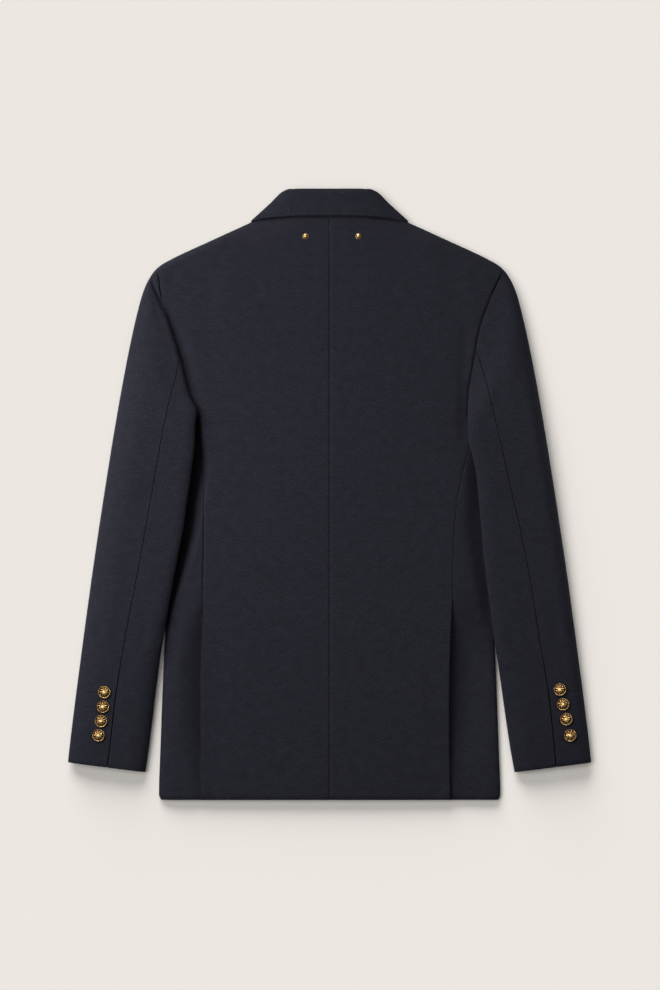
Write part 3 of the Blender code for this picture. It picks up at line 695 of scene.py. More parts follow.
def make_back(side):
    y = rows_between(HEM, NECK_SEAM, ROW_STEP)
    y = np.sort(np.concatenate([y, CORNER_ROWS, FALL_ROWS]), axis=0)
    limit = back_limit(side, y)
    wrap = shoulder_wrap(y)
    over = mix(mix(CENTRE_GAP, NECK_GAP, fade(y, *NECK_GAP_FADE)), limit, np.sin(QUARTER))
    under = limit - wrap * (1 - np.cos(QUARTER[1:]))
    near_vent = ease(1 - (limit - over) / VENT_LIFT_REACH)
    lift = VENT_LIFT * fade(y, VENT_TOP, VENT_TOP - VENT_LIFT_LENGTH) * near_vent
    z_over = back_face(side, over, y) + lift
    z_under = mix(turned_edge(z_over), front_height(side, under, y), ease(wrap / TURN_FADE))
    rows, along = folded(world(side, over, y, z_over), world(side, under, y, z_under),
                         over_count=58, under_count=14, extra=SEAM_SHARES)
    return lay_cloth("back_panel_" + side_name(side), rows, along, side < 0)


backs = {side: make_back(side) for side in (-1, 1)}

# %% [markdown]
# ## The side body
#
# A narrow panel under each arm. It starts at the side seam, rounds over the trunk's edge and runs
# a little way under. Below the top of the vent it also runs inwards, under the back's free edge,
# and sinks so that the back can lie on it.

# %% Side body
SIDE_TOP = 90.0
SIDE_TURN = 36.0
VENT_UNDERLAP = 18.0
UNDERLAP_FADE = (-150.0, -158.0)
Dip = namedtuple("Dip", "y left left_reach right")
VENT_DIP = (
    Dip(HEM, 2.0, 12.0, 2.8), Dip(-349.0, 4.2, 16.0, 3.4), Dip(-324.0, 7.0, 22.0, 4.8),
    Dip(-300.0, 8.8, 26.0, 6.8), Dip(-250.0, 10.2, 28.0, 9.0), Dip(-220.0, 10.4, 28.0, 9.0),
    Dip(-190.0, 9.4, 26.0, 8.2), Dip(-165.0, 7.0, 22.0, 6.2), Dip(-147.0, 4.2, 14.0, 3.4),
    Dip(-135.0, 2.0, 10.0, 1.6), Dip(-116.0, 0.0, 8.0, 0.0),
)
LEFT_DIP_POWER = 1.5
RIGHT_DIP_FADE = (16.0, 62.0)


def vent_dip(side, x, y):
    """How far the side body sinks under the back along the vent."""
    inside = x - column(SIDE_SEAM, side_name(side), y)
    if side < 0:
        share = 1 - np.clip(inside / column(VENT_DIP, "left_reach", y), 0.0, 1.0)
        return column(VENT_DIP, "left", y) * share ** LEFT_DIP_POWER
    return column(VENT_DIP, "right", y) * (1 - fade(inside, *RIGHT_DIP_FADE))


def make_side(side):
    y = rows_between(HEM, SIDE_TOP, ROW_STEP)
    fold = trunk_edge(y)
    seam = column(SIDE_SEAM, side_name(side), y) + SEAM_GAP / 2
    start = seam - VENT_UNDERLAP * fade(y, *UNDERLAP_FADE)
    over = mix(start, fold, np.sin(QUARTER))
    under = fold - SIDE_TURN * (1 - np.cos(QUARTER[1:]))
    z_over = back_face(side, over, y) - vent_dip(side, over, y)
    z_under = front_height(side, under, y)
    rows, along = folded(world(side, over, y, z_over), world(side, under, y, z_under),
                         over_count=32, under_count=18)
    return lay_cloth("side_panel_" + side_name(side), rows, along, side < 0)


sides = {side: make_side(side) for side in (-1, 1)}

# %% [markdown]
# ## Fronts and lapels
#
# The fronts lie face down. Each runs from its seam with the side body past the middle, and above
# the lowest lapel point its edge is the roll line, from which the lapel is turned back.

# %% Fronts and lapels
FRONT_STEP = 3.8
GORGE = 297.5
GORGE_END = 302.5
SHOULDER_GAP = 2.0
SHOULDER_START = (262.0, 271.0)
SEAM_BITE = 0.1
ROLL_GAP = 1.2
LapelEdge = namedtuple("LapelEdge", "y reach")
LAPEL_EDGE = (
    LapelEdge(BREAK, -71.0), LapelEdge(60.0, -42.0), LapelEdge(100.0, -5.0),
    LapelEdge(150.0, 39.0), LapelEdge(205.0, 82.0), LapelEdge(262.0, 117.0),
    LapelEdge(282.0, 124.0), LapelEdge(290.0, 74.0), LapelEdge(GORGE, 28.0),
)
NeckEdge = namedtuple("NeckEdge", "y half")
NECK_EDGE = (NeckEdge(305.0, 45.0), NeckEdge(320.0, 54.0), NeckEdge(334.0, 58.0))
NECK_CLEARANCE = 1.6


def front_limits(side, y):
    """Inner and outer edge of a front, from the middle towards its own side."""
    low = trunk_edge(y) - SIDE_TURN - SEAM_GAP
    armhole = column(ARMHOLE, side_name(side), y) - SEAM_BITE
    shoulder = trunk_edge(y) - shoulder_wrap(y) - SHOULDER_GAP
    outer = np.minimum(mix(low, armhole, fade(y, UNDERARM, ARMHOLE_START)),
                       mix(armhole, shoulder, fade(y, *SHOULDER_START)))
    neck = column(NECK_EDGE, "half", y) + NECK_CLEARANCE
    inner = mix(roll_line(y), neck, fade(y, GORGE, GORGE_END))
    return inner, outer


def make_front(side):
    y = rows_between(HEM, TOP_FRONT, FRONT_STEP)
    inner, outer = front_limits(side, y)
    x = mix(inner, outer, ACROSS)
    z = front_height(side, x, y) + hem_roll(y)
    rows, along = spaced(world(side, x, y, z), even_shares(count=46))
    return lay_cloth("front_panel_" + side_name(side), rows, along, side > 0)


def make_lapel(side):
    y = rows_between(BREAK, GORGE, FRONT_STEP, fine_ends=False)
    x = mix(roll_line(y) + ROLL_GAP, column(LAPEL_EDGE, "reach", y), ACROSS)
    creases = creased(side * x, y, FRONT_CREASES) * ease(edge_depth(x, y) / FRONT_CREASE_EDGE)
    rows, along = spaced(world(side, x, y, lapel_rise(side, y) + creases), even_shares(count=30))
    return lay_cloth("lapel_panel_" + side_name(side), rows, along, side > 0)


fronts = {side: make_front(side) for side in (-1, 1)}
lapels = {side: make_lapel(side) for side in (-1, 1)}

# %% [markdown]
# ## The collar
#
# The collar is one folded piece: a stand rises from the neck seam, rolls over at the fold, and the
# fall comes down over the back. Its shape is given as a row of cross-sections round the neck, from
# the middle of the back to the notch in front, each with its neck seam, fold and outer edge.

# %% Collar
CollarRow = namedtuple("CollarRow", "turn neck fold edge")
COLLAR = (
    CollarRow(0.0, (0.0, 345.6, 21.0), (0.0, 371.2, 20.2), (0.0, 339.8, 23.6)),
    CollarRow(0.0, (22.0, 345.6, 19.6), (24.0, 371.2, 19.8), (24.0, 339.6, 23.2)),
    CollarRow(15.0, (40.0, 345.8, 17.0), (41.0, 371.0, 18.8), (47.0, 338.6, 21.8)),
    CollarRow(40.0, (52.0, 346.6, 14.6), (48.6, 371.0, 16.6), (72.0, 336.8, 18.2)),
    CollarRow(90.0, (60.0, 348.4, 11.4), (51.2, 369.4, 11.6), (95.2, 332.2, 11.0)),
    CollarRow(150.0, (60.0, 344.0, 5.4), (46.6, 361.4, 3.6), (91.4, 329.6, 1.8)),
    CollarRow(180.0, (58.0, 334.0, 4.6), (40.6, 346.0, 2.9), (91.0, 318.0, 1.3)),
    CollarRow(180.0, (54.0, 320.0, 4.6), (32.6, 324.0, 2.9), (88.6, 306.0, 1.3)),
    CollarRow(180.0, (45.0, 305.0, 4.6), (24.8, 301.6, 2.9), (84.0, 291.2, 1.3)),
)
COLLAR_UNDER = 180.0
COLLAR_ROLL = 2.3
COLLAR_UNDER_ROLL = 1.61
COLLAR_SIDEWAYS = (0.66, 0.75)
COLLAR_THICKNESS = 1.9
COLLAR_SECTIONS = 150
CollarPoint = namedtuple("CollarPoint", "place bulge")
STAND_POINTS = (CollarPoint(0.5, 0.5), CollarPoint(0.86, 0.9))
FALL_POINTS = (CollarPoint(0.09, 0.9), CollarPoint(0.45, 0.5))


def collar_section(row):
    """Corner points of the folded collar from the neck seam over the fold to its outer edge."""
    angle = math.radians(row.turn)
    across, ahead = COLLAR_SIDEWAYS
    outwards = np.array([across * math.sin(angle), ahead * math.sin(angle), math.cos(angle)])
    neck, fold, edge = np.array(row.neck), np.array(row.fold), np.array(row.edge)
    roll = outwards * (COLLAR_UNDER_ROLL if row.turn == COLLAR_UNDER else COLLAR_ROLL)
    stand = [mix(neck, fold, spot.place) - roll * spot.bulge for spot in STAND_POINTS]
    fall = [mix(fold, edge, spot.place) + roll * spot.bulge for spot in FALL_POINTS]
    return [neck, *stand, fold, *fall, edge]


def refine(grid, count, axis):
    """Put a smooth curve through a grid of points along one axis."""
    grid = np.moveaxis(grid, axis, 0)
    steps = np.linalg.norm(np.diff(grid, axis=0), axis=-1).mean(axis=1)
    places = np.insert(np.cumsum(steps), 0, 0.0)
    at = np.linspace(0.0, places[-1], count)
    flat = grid.reshape(len(grid), -1)
    fine = np.stack([curve(places, flat[:, k], at) for k in range(flat.shape[1])], axis=-1)
    return np.moveaxis(fine.reshape(count, *grid.shape[1:]), 0, axis)


def make_collar():
    right = np.array([collar_section(row) for row in COLLAR])
    left = right[:0:-1] * np.array([-1.0, 1.0, 1.0])
    rough = refine(refine(np.concatenate([left, right]), COLLAR_SECTIONS, axis=0), DENSE, axis=1)
    rows, along = spaced(rough, even_shares(count=36))
    cloth = lay_cloth("collar_cloth", rows, along, False, COLLAR_THICKNESS, offset=0.0)
    return cloth, rows, along


collar, collar_rows, collar_along = make_collar()

# %% [markdown]
# ## The sleeves
#
# A tailored sleeve has two parts. The upper sleeve covers the outside of the arm and folds round
# the outer edge to the underside. The under sleeve lies between the back seam and the inner fold.
# A section runs from the outer fold to the inner one, and near the cuff the sections turn square to
# the sleeve. Where the sleeve lies over the side body, its inner fold leans on it.

# %% Sleeve sections
TILT_START = -165.0
CUFF_DROP = 12.0
JOIN_TOP = 144.0
LEAN_CLEARANCE = 3.0
LEAN_REACH = 18.0
Section = namedtuple("Section", "side y_outer y_inner outer inner joined")


def sleeve_section(side, y):
    """Sections across a sleeve, from its outer fold at y to its inner fold or armhole."""
    y = np.asarray(y, float)
    name = side_name(side)
    inner_y = y - CUFF_DROP * fade(y, TILT_START, CUFF)
    armhole, fold = column(ARMHOLE, name, inner_y), column(SLEEVE_INNER, name, inner_y)
    inner = np.where(y > UNDERARM, armhole, fold)
    return Section(side, y, inner_y, column(OUTLINE, "half", y), inner, fade(y, UNDERARM, JOIN_TOP))


def section_y(section, x):
    share = (section.outer - x) / (section.outer - section.inner)
    return mix(section.y_outer, section.y_inner, share)


def lean_height(x, y):
    """Height that a sleeve is lifted to where it leans on the side body."""
    fold = trunk_edge(y)
    on_body = back_height(np.minimum(x, fold), y) + LEAN_CLEARANCE
    beside = back_height(fold, y) + LEAN_CLEARANCE
    beside = beside * (1 - round_over(x - fold - LEAN_CLEARANCE, LEAN_REACH))
    return np.where(x <= fold + LEAN_CLEARANCE, on_body, beside)


elbow = sleeve_section(-1, 0.0)
print("left sleeve at the elbow:", elbow.outer - elbow.inner, "mm wide")

# %% Sleeve edges
OUTER_EDGE = 8.5
INNER_EDGE = 5.5
SLEEVE_ROUND = {-1: 34.0, 1: 16.0}
SLEEVE_ROUND_TOP = 214.0
SLEEVE_UNDER_ROUND = 12.0
LAYER_FADE = 30.0


def outer_round(section):
    """Height of the outer fold's middle and how far in the sleeve rounds over from it."""
    y = section.y_outer
    trunk = column(TRUNK, "crown", y)
    layer = LAYER * fade(y, SLEEVE_TOP, SLEEVE_TOP - LAYER_FADE)
    height = mix(OUTER_EDGE, trunk * EDGE_SHARE + layer, fade(y, UNDERARM, BLEND_TOP))
    reach = mix(SLEEVE_ROUND[section.side], trunk * back_round(section.outer, y),
                fade(y, UNDERARM, SLEEVE_ROUND_TOP))
    return height, reach


def outer_depth(section, x, y):
    """How far inside the sleeve's outer fold a place lies."""
    return near_or_far((section.outer - x) * edge_slant(section.y_outer), outline_map, x, y)


def cuff_roll(section):
    """How far the pressed end of the sleeve rolls down."""
    return HEM_ROLL * (1 - np.clip((section.y_outer - CUFF) / HEM_ROLL_REACH, 0.0, 1.0)) ** 2


print("outer fold at the elbow, height and rounding:", outer_round(elbow))

# %% Sleeve faces
INNER_ROUND = 1.6
INNER_ROUND_LEAST = 4.0
FOLD_ROUND = {-1: 6.0, 1: 9.0}
SLEEVE_CREASE_EDGE = 7.0
HeadRise = namedtuple("HeadRise", "y reach")
HEAD_RISE = (
    HeadRise(84.0, 18.0), HeadRise(125.0, 32.0), HeadRise(180.0, 48.0), HeadRise(230.0, 58.0),
    HeadRise(272.0, 66.0),
)
FoldRise = namedtuple("FoldRise", "y left right")
FOLD_RISE = (
    FoldRise(84.0, 8.2, 7.0), FoldRise(110.0, 7.6, 4.2), FoldRise(130.0, 7.0, 2.8),
    FoldRise(150.0, 7.0, 1.8), FoldRise(205.0, 6.6, 1.5), FoldRise(228.0, 4.8, 1.2),
    FoldRise(240.0, 2.4, 0.9), FoldRise(250.0, 0.8, 0.7), FoldRise(262.0, 0.4, 0.4),
    FoldRise(272.0, 0.3, 0.3),
)


def sleeve_top(section, x):
    """Outer height of a sleeve's upper face."""
    side, y, inside = section.side, section_y(section, x), x - section.inner
    crown = column(SLEEVE_HEIGHT, "crown", section.y_outer)
    fold = column(FOLD_RISE, side_name(side), y) * round_over(inside, FOLD_ROUND[side])
    rise = ease(inside / column(HEAD_RISE, "reach", y))
    head = mix(back_top(section.inner, y) + fold, crown, rise)
    start = lean_height(section.inner, y) + INNER_EDGE
    reach = INNER_ROUND_LEAST + INNER_ROUND * np.maximum(crown - start, 0.0)
    top = mix(mix(start, crown, round_over(inside, reach)), head, section.joined)
    from_edge = np.minimum(section.outer - x, inside + SLEEVE_CREASE_EDGE * section.joined)
    creases = creased(side * x, y, SLEEVE_CREASES) * ease(from_edge / SLEEVE_CREASE_EDGE)
    low, reach = outer_round(section)
    share = round_over(outer_depth(section, x, y), reach)
    return mix(low, top + creases, share) - cuff_roll(section)


def sleeve_under(section, x):
    """Outer height of a sleeve's underside."""
    y = section_y(section, x)
    outer_edge = 1 - round_over(outer_depth(section, x, y), SLEEVE_UNDER_ROUND)
    inner_edge = INNER_EDGE * (1 - round_over(x - section.inner, SLEEVE_UNDER_ROUND))
    free = lean_height(x, y) + inner_edge
    return free * (1 - section.joined) + outer_round(section)[0] * outer_edge


print("left sleeve at the elbow:", sleeve_top(elbow, 225.0), "mm high")

# %% Sleeve seams
INSEAM = 18.0
INSEAM_FADE = (76.0, 84.0)
CURVED_GAP = 0.75
CUFF_VENT_GAP = 1.2
CUFF_VENT_FADE = (-190.0, -240.0)
BACK_SEAM_TOP = 175.0
BACK_SEAM_START = 0.8
BACK_SEAM_FADE = 1.5


def back_seam_gap(y):
    """Half the gap at the back seam, which is open as a vent near the cuff."""
    return mix(CURVED_GAP, CUFF_VENT_GAP, fade(y, *CUFF_VENT_FADE)) / 2


def upper_edge(section):
    """Where the upper sleeve ends on top: its back seam, or the armhole above that seam."""
    middle = mix(section.y_outer, section.y_inner, 0.5)
    seam = column(BACK_SEAM, side_name(section.side), middle)
    seam = np.maximum(seam, section.inner + BACK_SEAM_START)
    above = fade(section.y_outer, BACK_SEAM_TOP, BACK_SEAM_TOP + BACK_SEAM_FADE)
    return mix(seam, section.inner, above)


print("back seam at the elbow:", upper_edge(elbow), "mm out, open by", 2 * back_seam_gap(0.0), "mm")

# %% Sleeves
def make_upper_sleeve(side):
    y = rows_between(CUFF, SLEEVE_TOP, ROW_STEP)
    section = sleeve_section(side, y)
    top_end = upper_edge(section) + back_seam_gap(y) * (y < BACK_SEAM_TOP)
    under_end = section.inner - SEAM_BITE + INSEAM * (1 - fade(y, *INSEAM_FADE))
    over = mix(top_end, section.outer, np.sin(QUARTER))
    under = section.outer - (section.outer - under_end) * (1 - np.cos(QUARTER[1:]))
    top = world(side, over, section_y(section, over), sleeve_top(section, over))
    bottom = world(side, under, section_y(section, under), sleeve_under(section, under))
    rows, along = folded(top, bottom, over_count=38, under_count=30)
    return lay_cloth("upper_sleeve_" + side_name(side), rows, along, side < 0)


def make_under_sleeve(side):
    y = rows_between(CUFF, BACK_SEAM_TOP, ROW_STEP)
    section = sleeve_section(side, y)
    start = upper_edge(section) - back_seam_gap(y)
    turn = (INSEAM - CURVED_GAP) * (1 - fade(y, *INSEAM_FADE))
    over = start - (start - section.inner) * np.sin(QUARTER)
    under = section.inner + turn * (1 - np.cos(QUARTER[1:]))
    z_over = sleeve_top(section, over)
    z_under = mix(turned_edge(z_over), sleeve_under(section, under), ease(turn / TURN_FADE))
    top = world(side, over, section_y(section, over), z_over)
    bottom = world(side, under, section_y(section, under), z_under)
    rows, along = folded(top, bottom, over_count=30, under_count=14)
    return lay_cloth("under_sleeve_" + side_name(side), rows, along, side > 0)


upper_sleeves = {side: make_upper_sleeve(side) for side in (-1, 1)}
under_sleeves = {side: make_under_sleeve(side) for side in (-1, 1)}

# %% [markdown]
# ## Dark navy gabardine
#
# The cloth is a fine worsted twill: smooth, dark and almost dull, with a grain that only shows from
# close by. The twill's slanted ribs are a wave texture on the UV map, which is in metres of cloth,
# so a rib is as wide on a sleeve as on the back. Two noises make the colour uneven, one for single
# yarns and one for larger patches. A little sheen stands for the fine nap.

# %% Tools for materials
def set_dials(node, dials):
    """Set the inputs of a shader node, which are its dials."""
    for name, value in dials.items():
        node.inputs[name].default_value = value
    return node


def new_material(name, dials):
    """A material, its tree of nodes, and its shader with some dials set."""
    material = bpy.data.materials.new(name)
    material.use_nodes = True
    shader = set_dials(material.node_tree.nodes["Principled BSDF"], dials)
    return material, material.node_tree, shader


def add_node(tree, kind, dials={}, **settings):
    """A shader node of some kind, with its settings and its dials."""
    node = tree.nodes.new("ShaderNode" + kind)
    for name, value in settings.items():
        setattr(node, name, value)
    return set_dials(node, dials)


def add_ramp(tree, low, low_colour, high, high_colour):
    """A ramp between two colours, from one place to another."""
    ramp = tree.nodes.new("ShaderNodeValToRGB")
    for end, place, colour in zip(ramp.color_ramp.elements, (low, high), (low_colour, high_colour)):
        end.position = place
        end.color = (*colour, 1.0)
    return ramp


print("tools ready for shader nodes")

# %% Cloth material
NAVY = (0.0017, 0.0017, 0.0030)
NAVY_LIGHT = (0.0058, 0.0058, 0.0091)
RIB_PITCH = 0.00075
RIB_TURN = 63.0
CLOTH_ROUGHNESS = 0.8
CLOTH_SHEEN = 0.014


def make_cloth(name):
    material, tree, shader = new_material(name, {
        "Roughness": CLOTH_ROUGHNESS, "Sheen Weight": CLOTH_SHEEN, "Sheen Roughness": 0.75,
        "Sheen Tint": (0.78, 0.78, 1.0, 1.0), "Specular IOR Level": 0.04})
    uv = add_node(tree, "UVMap", uv_map="Cloth")
    turn = add_node(tree, "Mapping", {"Rotation": (0.0, 0.0, math.radians(RIB_TURN))})
    rib = add_node(tree, "TexWave", {
        "Scale": 1 / RIB_PITCH / 3.14, "Distortion": 1.2, "Detail": 1.0, "Detail Scale": 2.0},
        wave_profile="SIN")
    yarn_grain = add_node(tree, "Mapping", {"Scale": (1.0, 0.6, 1.0)})
    yarn = add_node(tree, "TexNoise", {"Scale": 760.0, "Detail": 3.0})
    patch = add_node(tree, "TexNoise", {"Scale": 90.0, "Detail": 4.0})
    blend = add_node(tree, "Mix", {"Factor": 0.2}, data_type="FLOAT")
    ramp = add_ramp(tree, 0.41, NAVY, 0.63, NAVY_LIGHT)
    height = add_node(tree, "Math", operation="ADD")
    bump = add_node(tree, "Bump", {"Strength": 0.35, "Distance": 0.00012})
    for source, target in (
        (uv.outputs["UV"], turn.inputs["Vector"]), (turn.outputs["Vector"], rib.inputs["Vector"]),
        (uv.outputs["UV"], yarn_grain.inputs["Vector"]),
        (yarn_grain.outputs["Vector"], yarn.inputs["Vector"]),
        (uv.outputs["UV"], patch.inputs["Vector"]),
        (yarn.outputs["Fac"], blend.inputs["A"]), (patch.outputs["Fac"], blend.inputs["B"]),
        (blend.outputs["Result"], ramp.inputs["Fac"]),
        (ramp.outputs["Color"], shader.inputs["Base Color"]),
        (rib.outputs["Fac"], height.inputs[0]), (yarn.outputs["Fac"], height.inputs[1]),
        (height.outputs["Value"], bump.inputs["Height"]),
        (bump.outputs["Normal"], shader.inputs["Normal"]),
    ):
        tree.links.new(source, target)
    return material


gabardine = make_cloth("navy_gabardine")
cloth_pieces = [*backs.values(), *sides.values(), *fronts.values(), *lapels.values(), collar,
                *upper_sleeves.values(), *under_sleeves.values()]
for piece in cloth_pieces:
    piece.data.materials.clear()
    piece.data.materials.append(gabardine)
print(len(cloth_pieces), "pieces of cloth")

# %% [markdown]
# ## A gilt button, modelled by hand
#
# The cuffs carry four domed metal buttons each, and the fronts carry six larger ones. A dome could
# be turned from a profile, but its relief isn't round: a rope rim, a few short rays and a rosette.
# So a flat cylinder is inset ring by ring and the rings are lifted into a dome. Then every second,
# fourth or fifth face of a ring is raised on its own. It is made once, at its real size, and copied
# to each place.

# %% Button tools
FACETS = 40
FACES_UP = 0.3
Ring = namedtuple("Ring", "inset rise")


def pick_faces(piece, wanted):
    """In edit mode, select the faces whose middle and normal pass a test."""
    bpy.ops.mesh.select_mode(type="FACE")
    bpy.ops.mesh.select_all(action="DESELECT")
    form = bmesh.from_edit_mesh(piece.data)
    chosen = 0
    for face in form.faces:
        if wanted(face.calc_center_median() / MM, face.normal):
            face.select_set(True)
            chosen += 1
    bmesh.update_edit_mesh(piece.data)
    return chosen


def top_middle(middle, normal):
    """A test for the round face in the middle of the top."""
    return middle.xy.length < TINY and normal.z > FACES_UP


def ring_between(low, high, every):
    """A test for every n-th face of the ring between two radii, on top."""
    def wanted(middle, normal):
        turn = math.atan2(middle.y, middle.x) / (2 * math.pi) % 1.0
        facet = int(round(turn * FACETS - 0.5))
        return low < middle.xy.length < high and normal.z > FACES_UP and facet % every == 0
    return wanted


def start_disc(facets, radius, low, body, rings):
    """A flat cylinder whose top is inset ring by ring into a dome. It stays in edit mode."""
    bpy.ops.object.select_all(action="DESELECT")
    bpy.ops.mesh.primitive_cylinder_add(
        vertices=facets, radius=radius * MM, depth=body * MM, end_fill_type="NGON",
        location=(0.0, 0.0, (low + body / 2) * MM))
    disc = bpy.context.object
    bpy.ops.object.transform_apply(location=True, rotation=True, scale=True)
    bpy.ops.object.mode_set(mode="EDIT")
    for ring in rings:
        pick_faces(disc, top_middle)
        bpy.ops.mesh.inset(thickness=ring.inset * MM, depth=ring.rise * MM)
    return disc


def round_off(piece):
    """Leave edit mode and soften every edge by one level of subdivision."""
    bpy.ops.object.mode_set(mode="OBJECT")
    soft = piece.modifiers.new("Round off", "SUBSURF")
    soft.levels = soft.render_levels = 1
    bpy.ops.object.modifier_apply(modifier=soft.name)
    piece.data.shade_smooth()
    print("rounded off, with", len(piece.data.polygons), "faces")
    return piece


print("tools ready for", BUTTON_RADIUS * 2, "mm buttons")

# %% Button
BUTTON_RINGS = (
    Ring(0.25, 0.12), Ring(1.05, 0.0), Ring(0.30, -0.22), Ring(0.22, 0.0), Ring(0.35, 0.42),
    Ring(1.55, 0.72), Ring(0.25, 0.10), Ring(1.15, 0.34), Ring(0.22, -0.18), Ring(0.30, 0.20),
    Ring(0.85, 0.22),
)
Raised = namedtuple("Raised", "name low high every inset rise")
BUTTON_RELIEF = (
    Raised("rope", 6.4, 7.4, 2, 0.16, 0.34),
    Raised("rays", 4.2, 5.4, 4, 0.06, 0.42),
    Raised("petals", 2.4, 3.4, 5, 0.05, 0.36),
)
BUTTON_BODY = 0.9
BUTTON_UNDERSIDE = 0.88
BUTTON_UNDER_RIM = 0.8
SHANK_RADIUS = 2.5


def model_button():
    button = start_disc(FACETS, BUTTON_RADIUS, BUTTON_UNDERSIDE, BUTTON_BODY, BUTTON_RINGS)
    for part in BUTTON_RELIEF:
        faces = pick_faces(button, ring_between(part.low, part.high, part.every))
        bpy.ops.mesh.inset(thickness=part.inset * MM, depth=part.rise * MM, use_individual=True)
        print(part.name, faces, "faces")
    pick_faces(button, lambda middle, normal: middle.xy.length < TINY and normal.z < -FACES_UP)
    bpy.ops.mesh.inset(thickness=BUTTON_UNDER_RIM * MM, depth=0.0)
    bpy.ops.mesh.inset(thickness=(BUTTON_RADIUS - BUTTON_UNDER_RIM - SHANK_RADIUS) * MM, depth=0.0)
    shank = (0.0, 0.0, -BUTTON_UNDERSIDE * MM)
    bpy.ops.mesh.extrude_region_move(TRANSFORM_OT_translate={"value": shank})
    return round_off(button)


button_master = model_button()
top = max(vert.co.z for vert in button_master.data.vertices) / MM
print("button height", round(top, 2), "mm")

# %% [markdown]
# ## Antiqued gilt
#
# Real gilt buttons are bright on every raised edge and nearly black in the recesses, where the
# finish was never rubbed off. The material needs to know which is which. Each point of the button
# is compared with the mean height of its ring, and the difference is kept as an attribute, so the
# dark finish goes with the metal wherever a copy is placed. The outermost rim is also set to the
# darkest tone: that is painted shade, standing for the shadow under the button's edge.

# %% Relief of the button
RELIEF = 0.11
RELIEF_RINGS = 24
RING_OVERLAP = 0.15
SMOOTHING = 5
UPPER_FROM = 0.2
UNDER_TONE = 0.2
# width in mm of the outer rim that is painted dark as shade
PAINTED_RIM_SHADE = 0.75


def mark_relief(piece, radius):
    """Keep how far each point stands above the mean of its ring, and paint shade on the outer rim.
    """
    points = np.array([vert.co for vert in piece.data.vertices]) / MM
    away = np.hypot(points[:, 0], points[:, 1])
    edges = np.linspace(0.0, radius, RELIEF_RINGS + 1)
    middles = (edges[:-1] + edges[1:]) / 2
    upper = points[:, 2] > BUTTON_UNDERSIDE + UPPER_FROM
    means = []
    for low, high in zip(edges[:-1] - RING_OVERLAP, edges[1:] + RING_OVERLAP):
        inside = upper & (away >= low) & (away < high)
        means.append(points[inside, 2].mean() if inside.any() else 0.0)
    means = np.pad(means, SMOOTHING // 2, mode="edge")
    smooth = np.convolve(means, np.ones(SMOOTHING) / SMOOTHING, mode="valid")
    above = points[:, 2] - np.interp(away, middles, smooth)
    relief = np.clip(0.5 + above / (2 * RELIEF), 0.0, 1.0)
    relief[~upper] = UNDER_TONE
    # Painted shade: the outermost rim gets the darkest tone, standing for the shadow under the
    # button's edge.
    relief[away > radius - PAINTED_RIM_SHADE] = 0.0
    layer = piece.data.attributes.new("relief", "FLOAT", "POINT")
    layer.data.foreach_set("value", relief)
    return relief.mean()


print("mean relief", round(float(mark_relief(button_master, BUTTON_RADIUS)), 2))

# %% Gilt material
GILT_BRIGHT = (0.84, 0.55, 0.23)
GILT_DARK = (0.040, 0.019, 0.006)
STAIN_SHARE = 1.6


def make_gilt(name, bright, dark, roughness):
    material, tree, shader = new_material(name, {"Metallic": 1.0})
    relief = add_node(tree, "Attribute", attribute_name="relief")
    place = add_node(tree, "TexCoord")
    stain = add_node(tree, "TexNoise", {"Scale": 480.0, "Detail": 4.0})
    add = add_node(tree, "Math", {1: STAIN_SHARE}, operation="MULTIPLY_ADD")
    half = add_node(tree, "Math", {1: 0.5}, operation="MULTIPLY")
    ramp = add_ramp(tree, 0.50, dark, 0.78, bright)
    rough = add_node(tree, "MapRange", {"From Min": 0.9, "From Max": STAIN_SHARE,
                                        "To Min": roughness + 0.25, "To Max": roughness})
    for source, target in (
        (place.outputs["Object"], stain.inputs["Vector"]), (stain.outputs["Fac"], add.inputs[0]),
        (relief.outputs["Fac"], add.inputs[2]), (add.outputs["Value"], half.inputs[0]),
        (half.outputs["Value"], ramp.inputs["Fac"]),
        (ramp.outputs["Color"], shader.inputs["Base Color"]),
        (add.outputs["Value"], rough.inputs["Value"]),
        (rough.outputs["Result"], shader.inputs["Roughness"]),
    ):
        tree.links.new(source, target)
    return material


gilt = make_gilt("antiqued_gilt", GILT_BRIGHT, GILT_DARK, roughness=0.24)
button_master.data.materials.append(gilt)
print("finish of the buttons:", gilt.name)

# %% [markdown]
# ## Seating the buttons
#
# A button sits square to the cloth below it. The slope of the sleeve at the button's place gives
# that direction. Each copy has its own mesh, and the move is put into the mesh, so the object
# itself stays at the origin.

# %% Buttons
CuffButton = namedtuple("CuffButton", "left_x left_y right_x right_y")
CUFF_BUTTONS = (
    CuffButton(274.0, -240.4, 280.0, -237.4), CuffButton(275.6, -258.2, 283.8, -255.2),
    CuffButton(278.0, -275.6, 287.8, -273.4), CuffButton(281.0, -293.1, 292.7, -293.1),
)
BUTTON_TURNS = (0.0, 0.35, -0.25, 0.6)
FRONT_BUTTON_TURN = 0.2


def place_copy(master, name, place, axis, turn=0.0, scale=1.0):
    """A copy of a piece with its own mesh, stood along an axis at a place in millimetres."""
    mesh = master.data.copy()
    mesh.name = name
    stand = Vector(axis).normalized().to_track_quat("Z", "Y").to_matrix().to_4x4()
    mesh.transform(Matrix.Translation(Vector(place) * MM) @ stand @ Matrix.Rotation(turn, 4, "Z")
                   @ Matrix.Scale(scale, 4))
    piece = bpy.data.objects.new(name, mesh)
    bpy.context.scene.collection.objects.link(piece)
    return piece


def cuff_button_place(row, side):
    """Where a cuff button stands, measured from the middle towards its own side."""
    return getattr(row, side_name(side) + "_x"), getattr(row, side_name(side) + "_y")


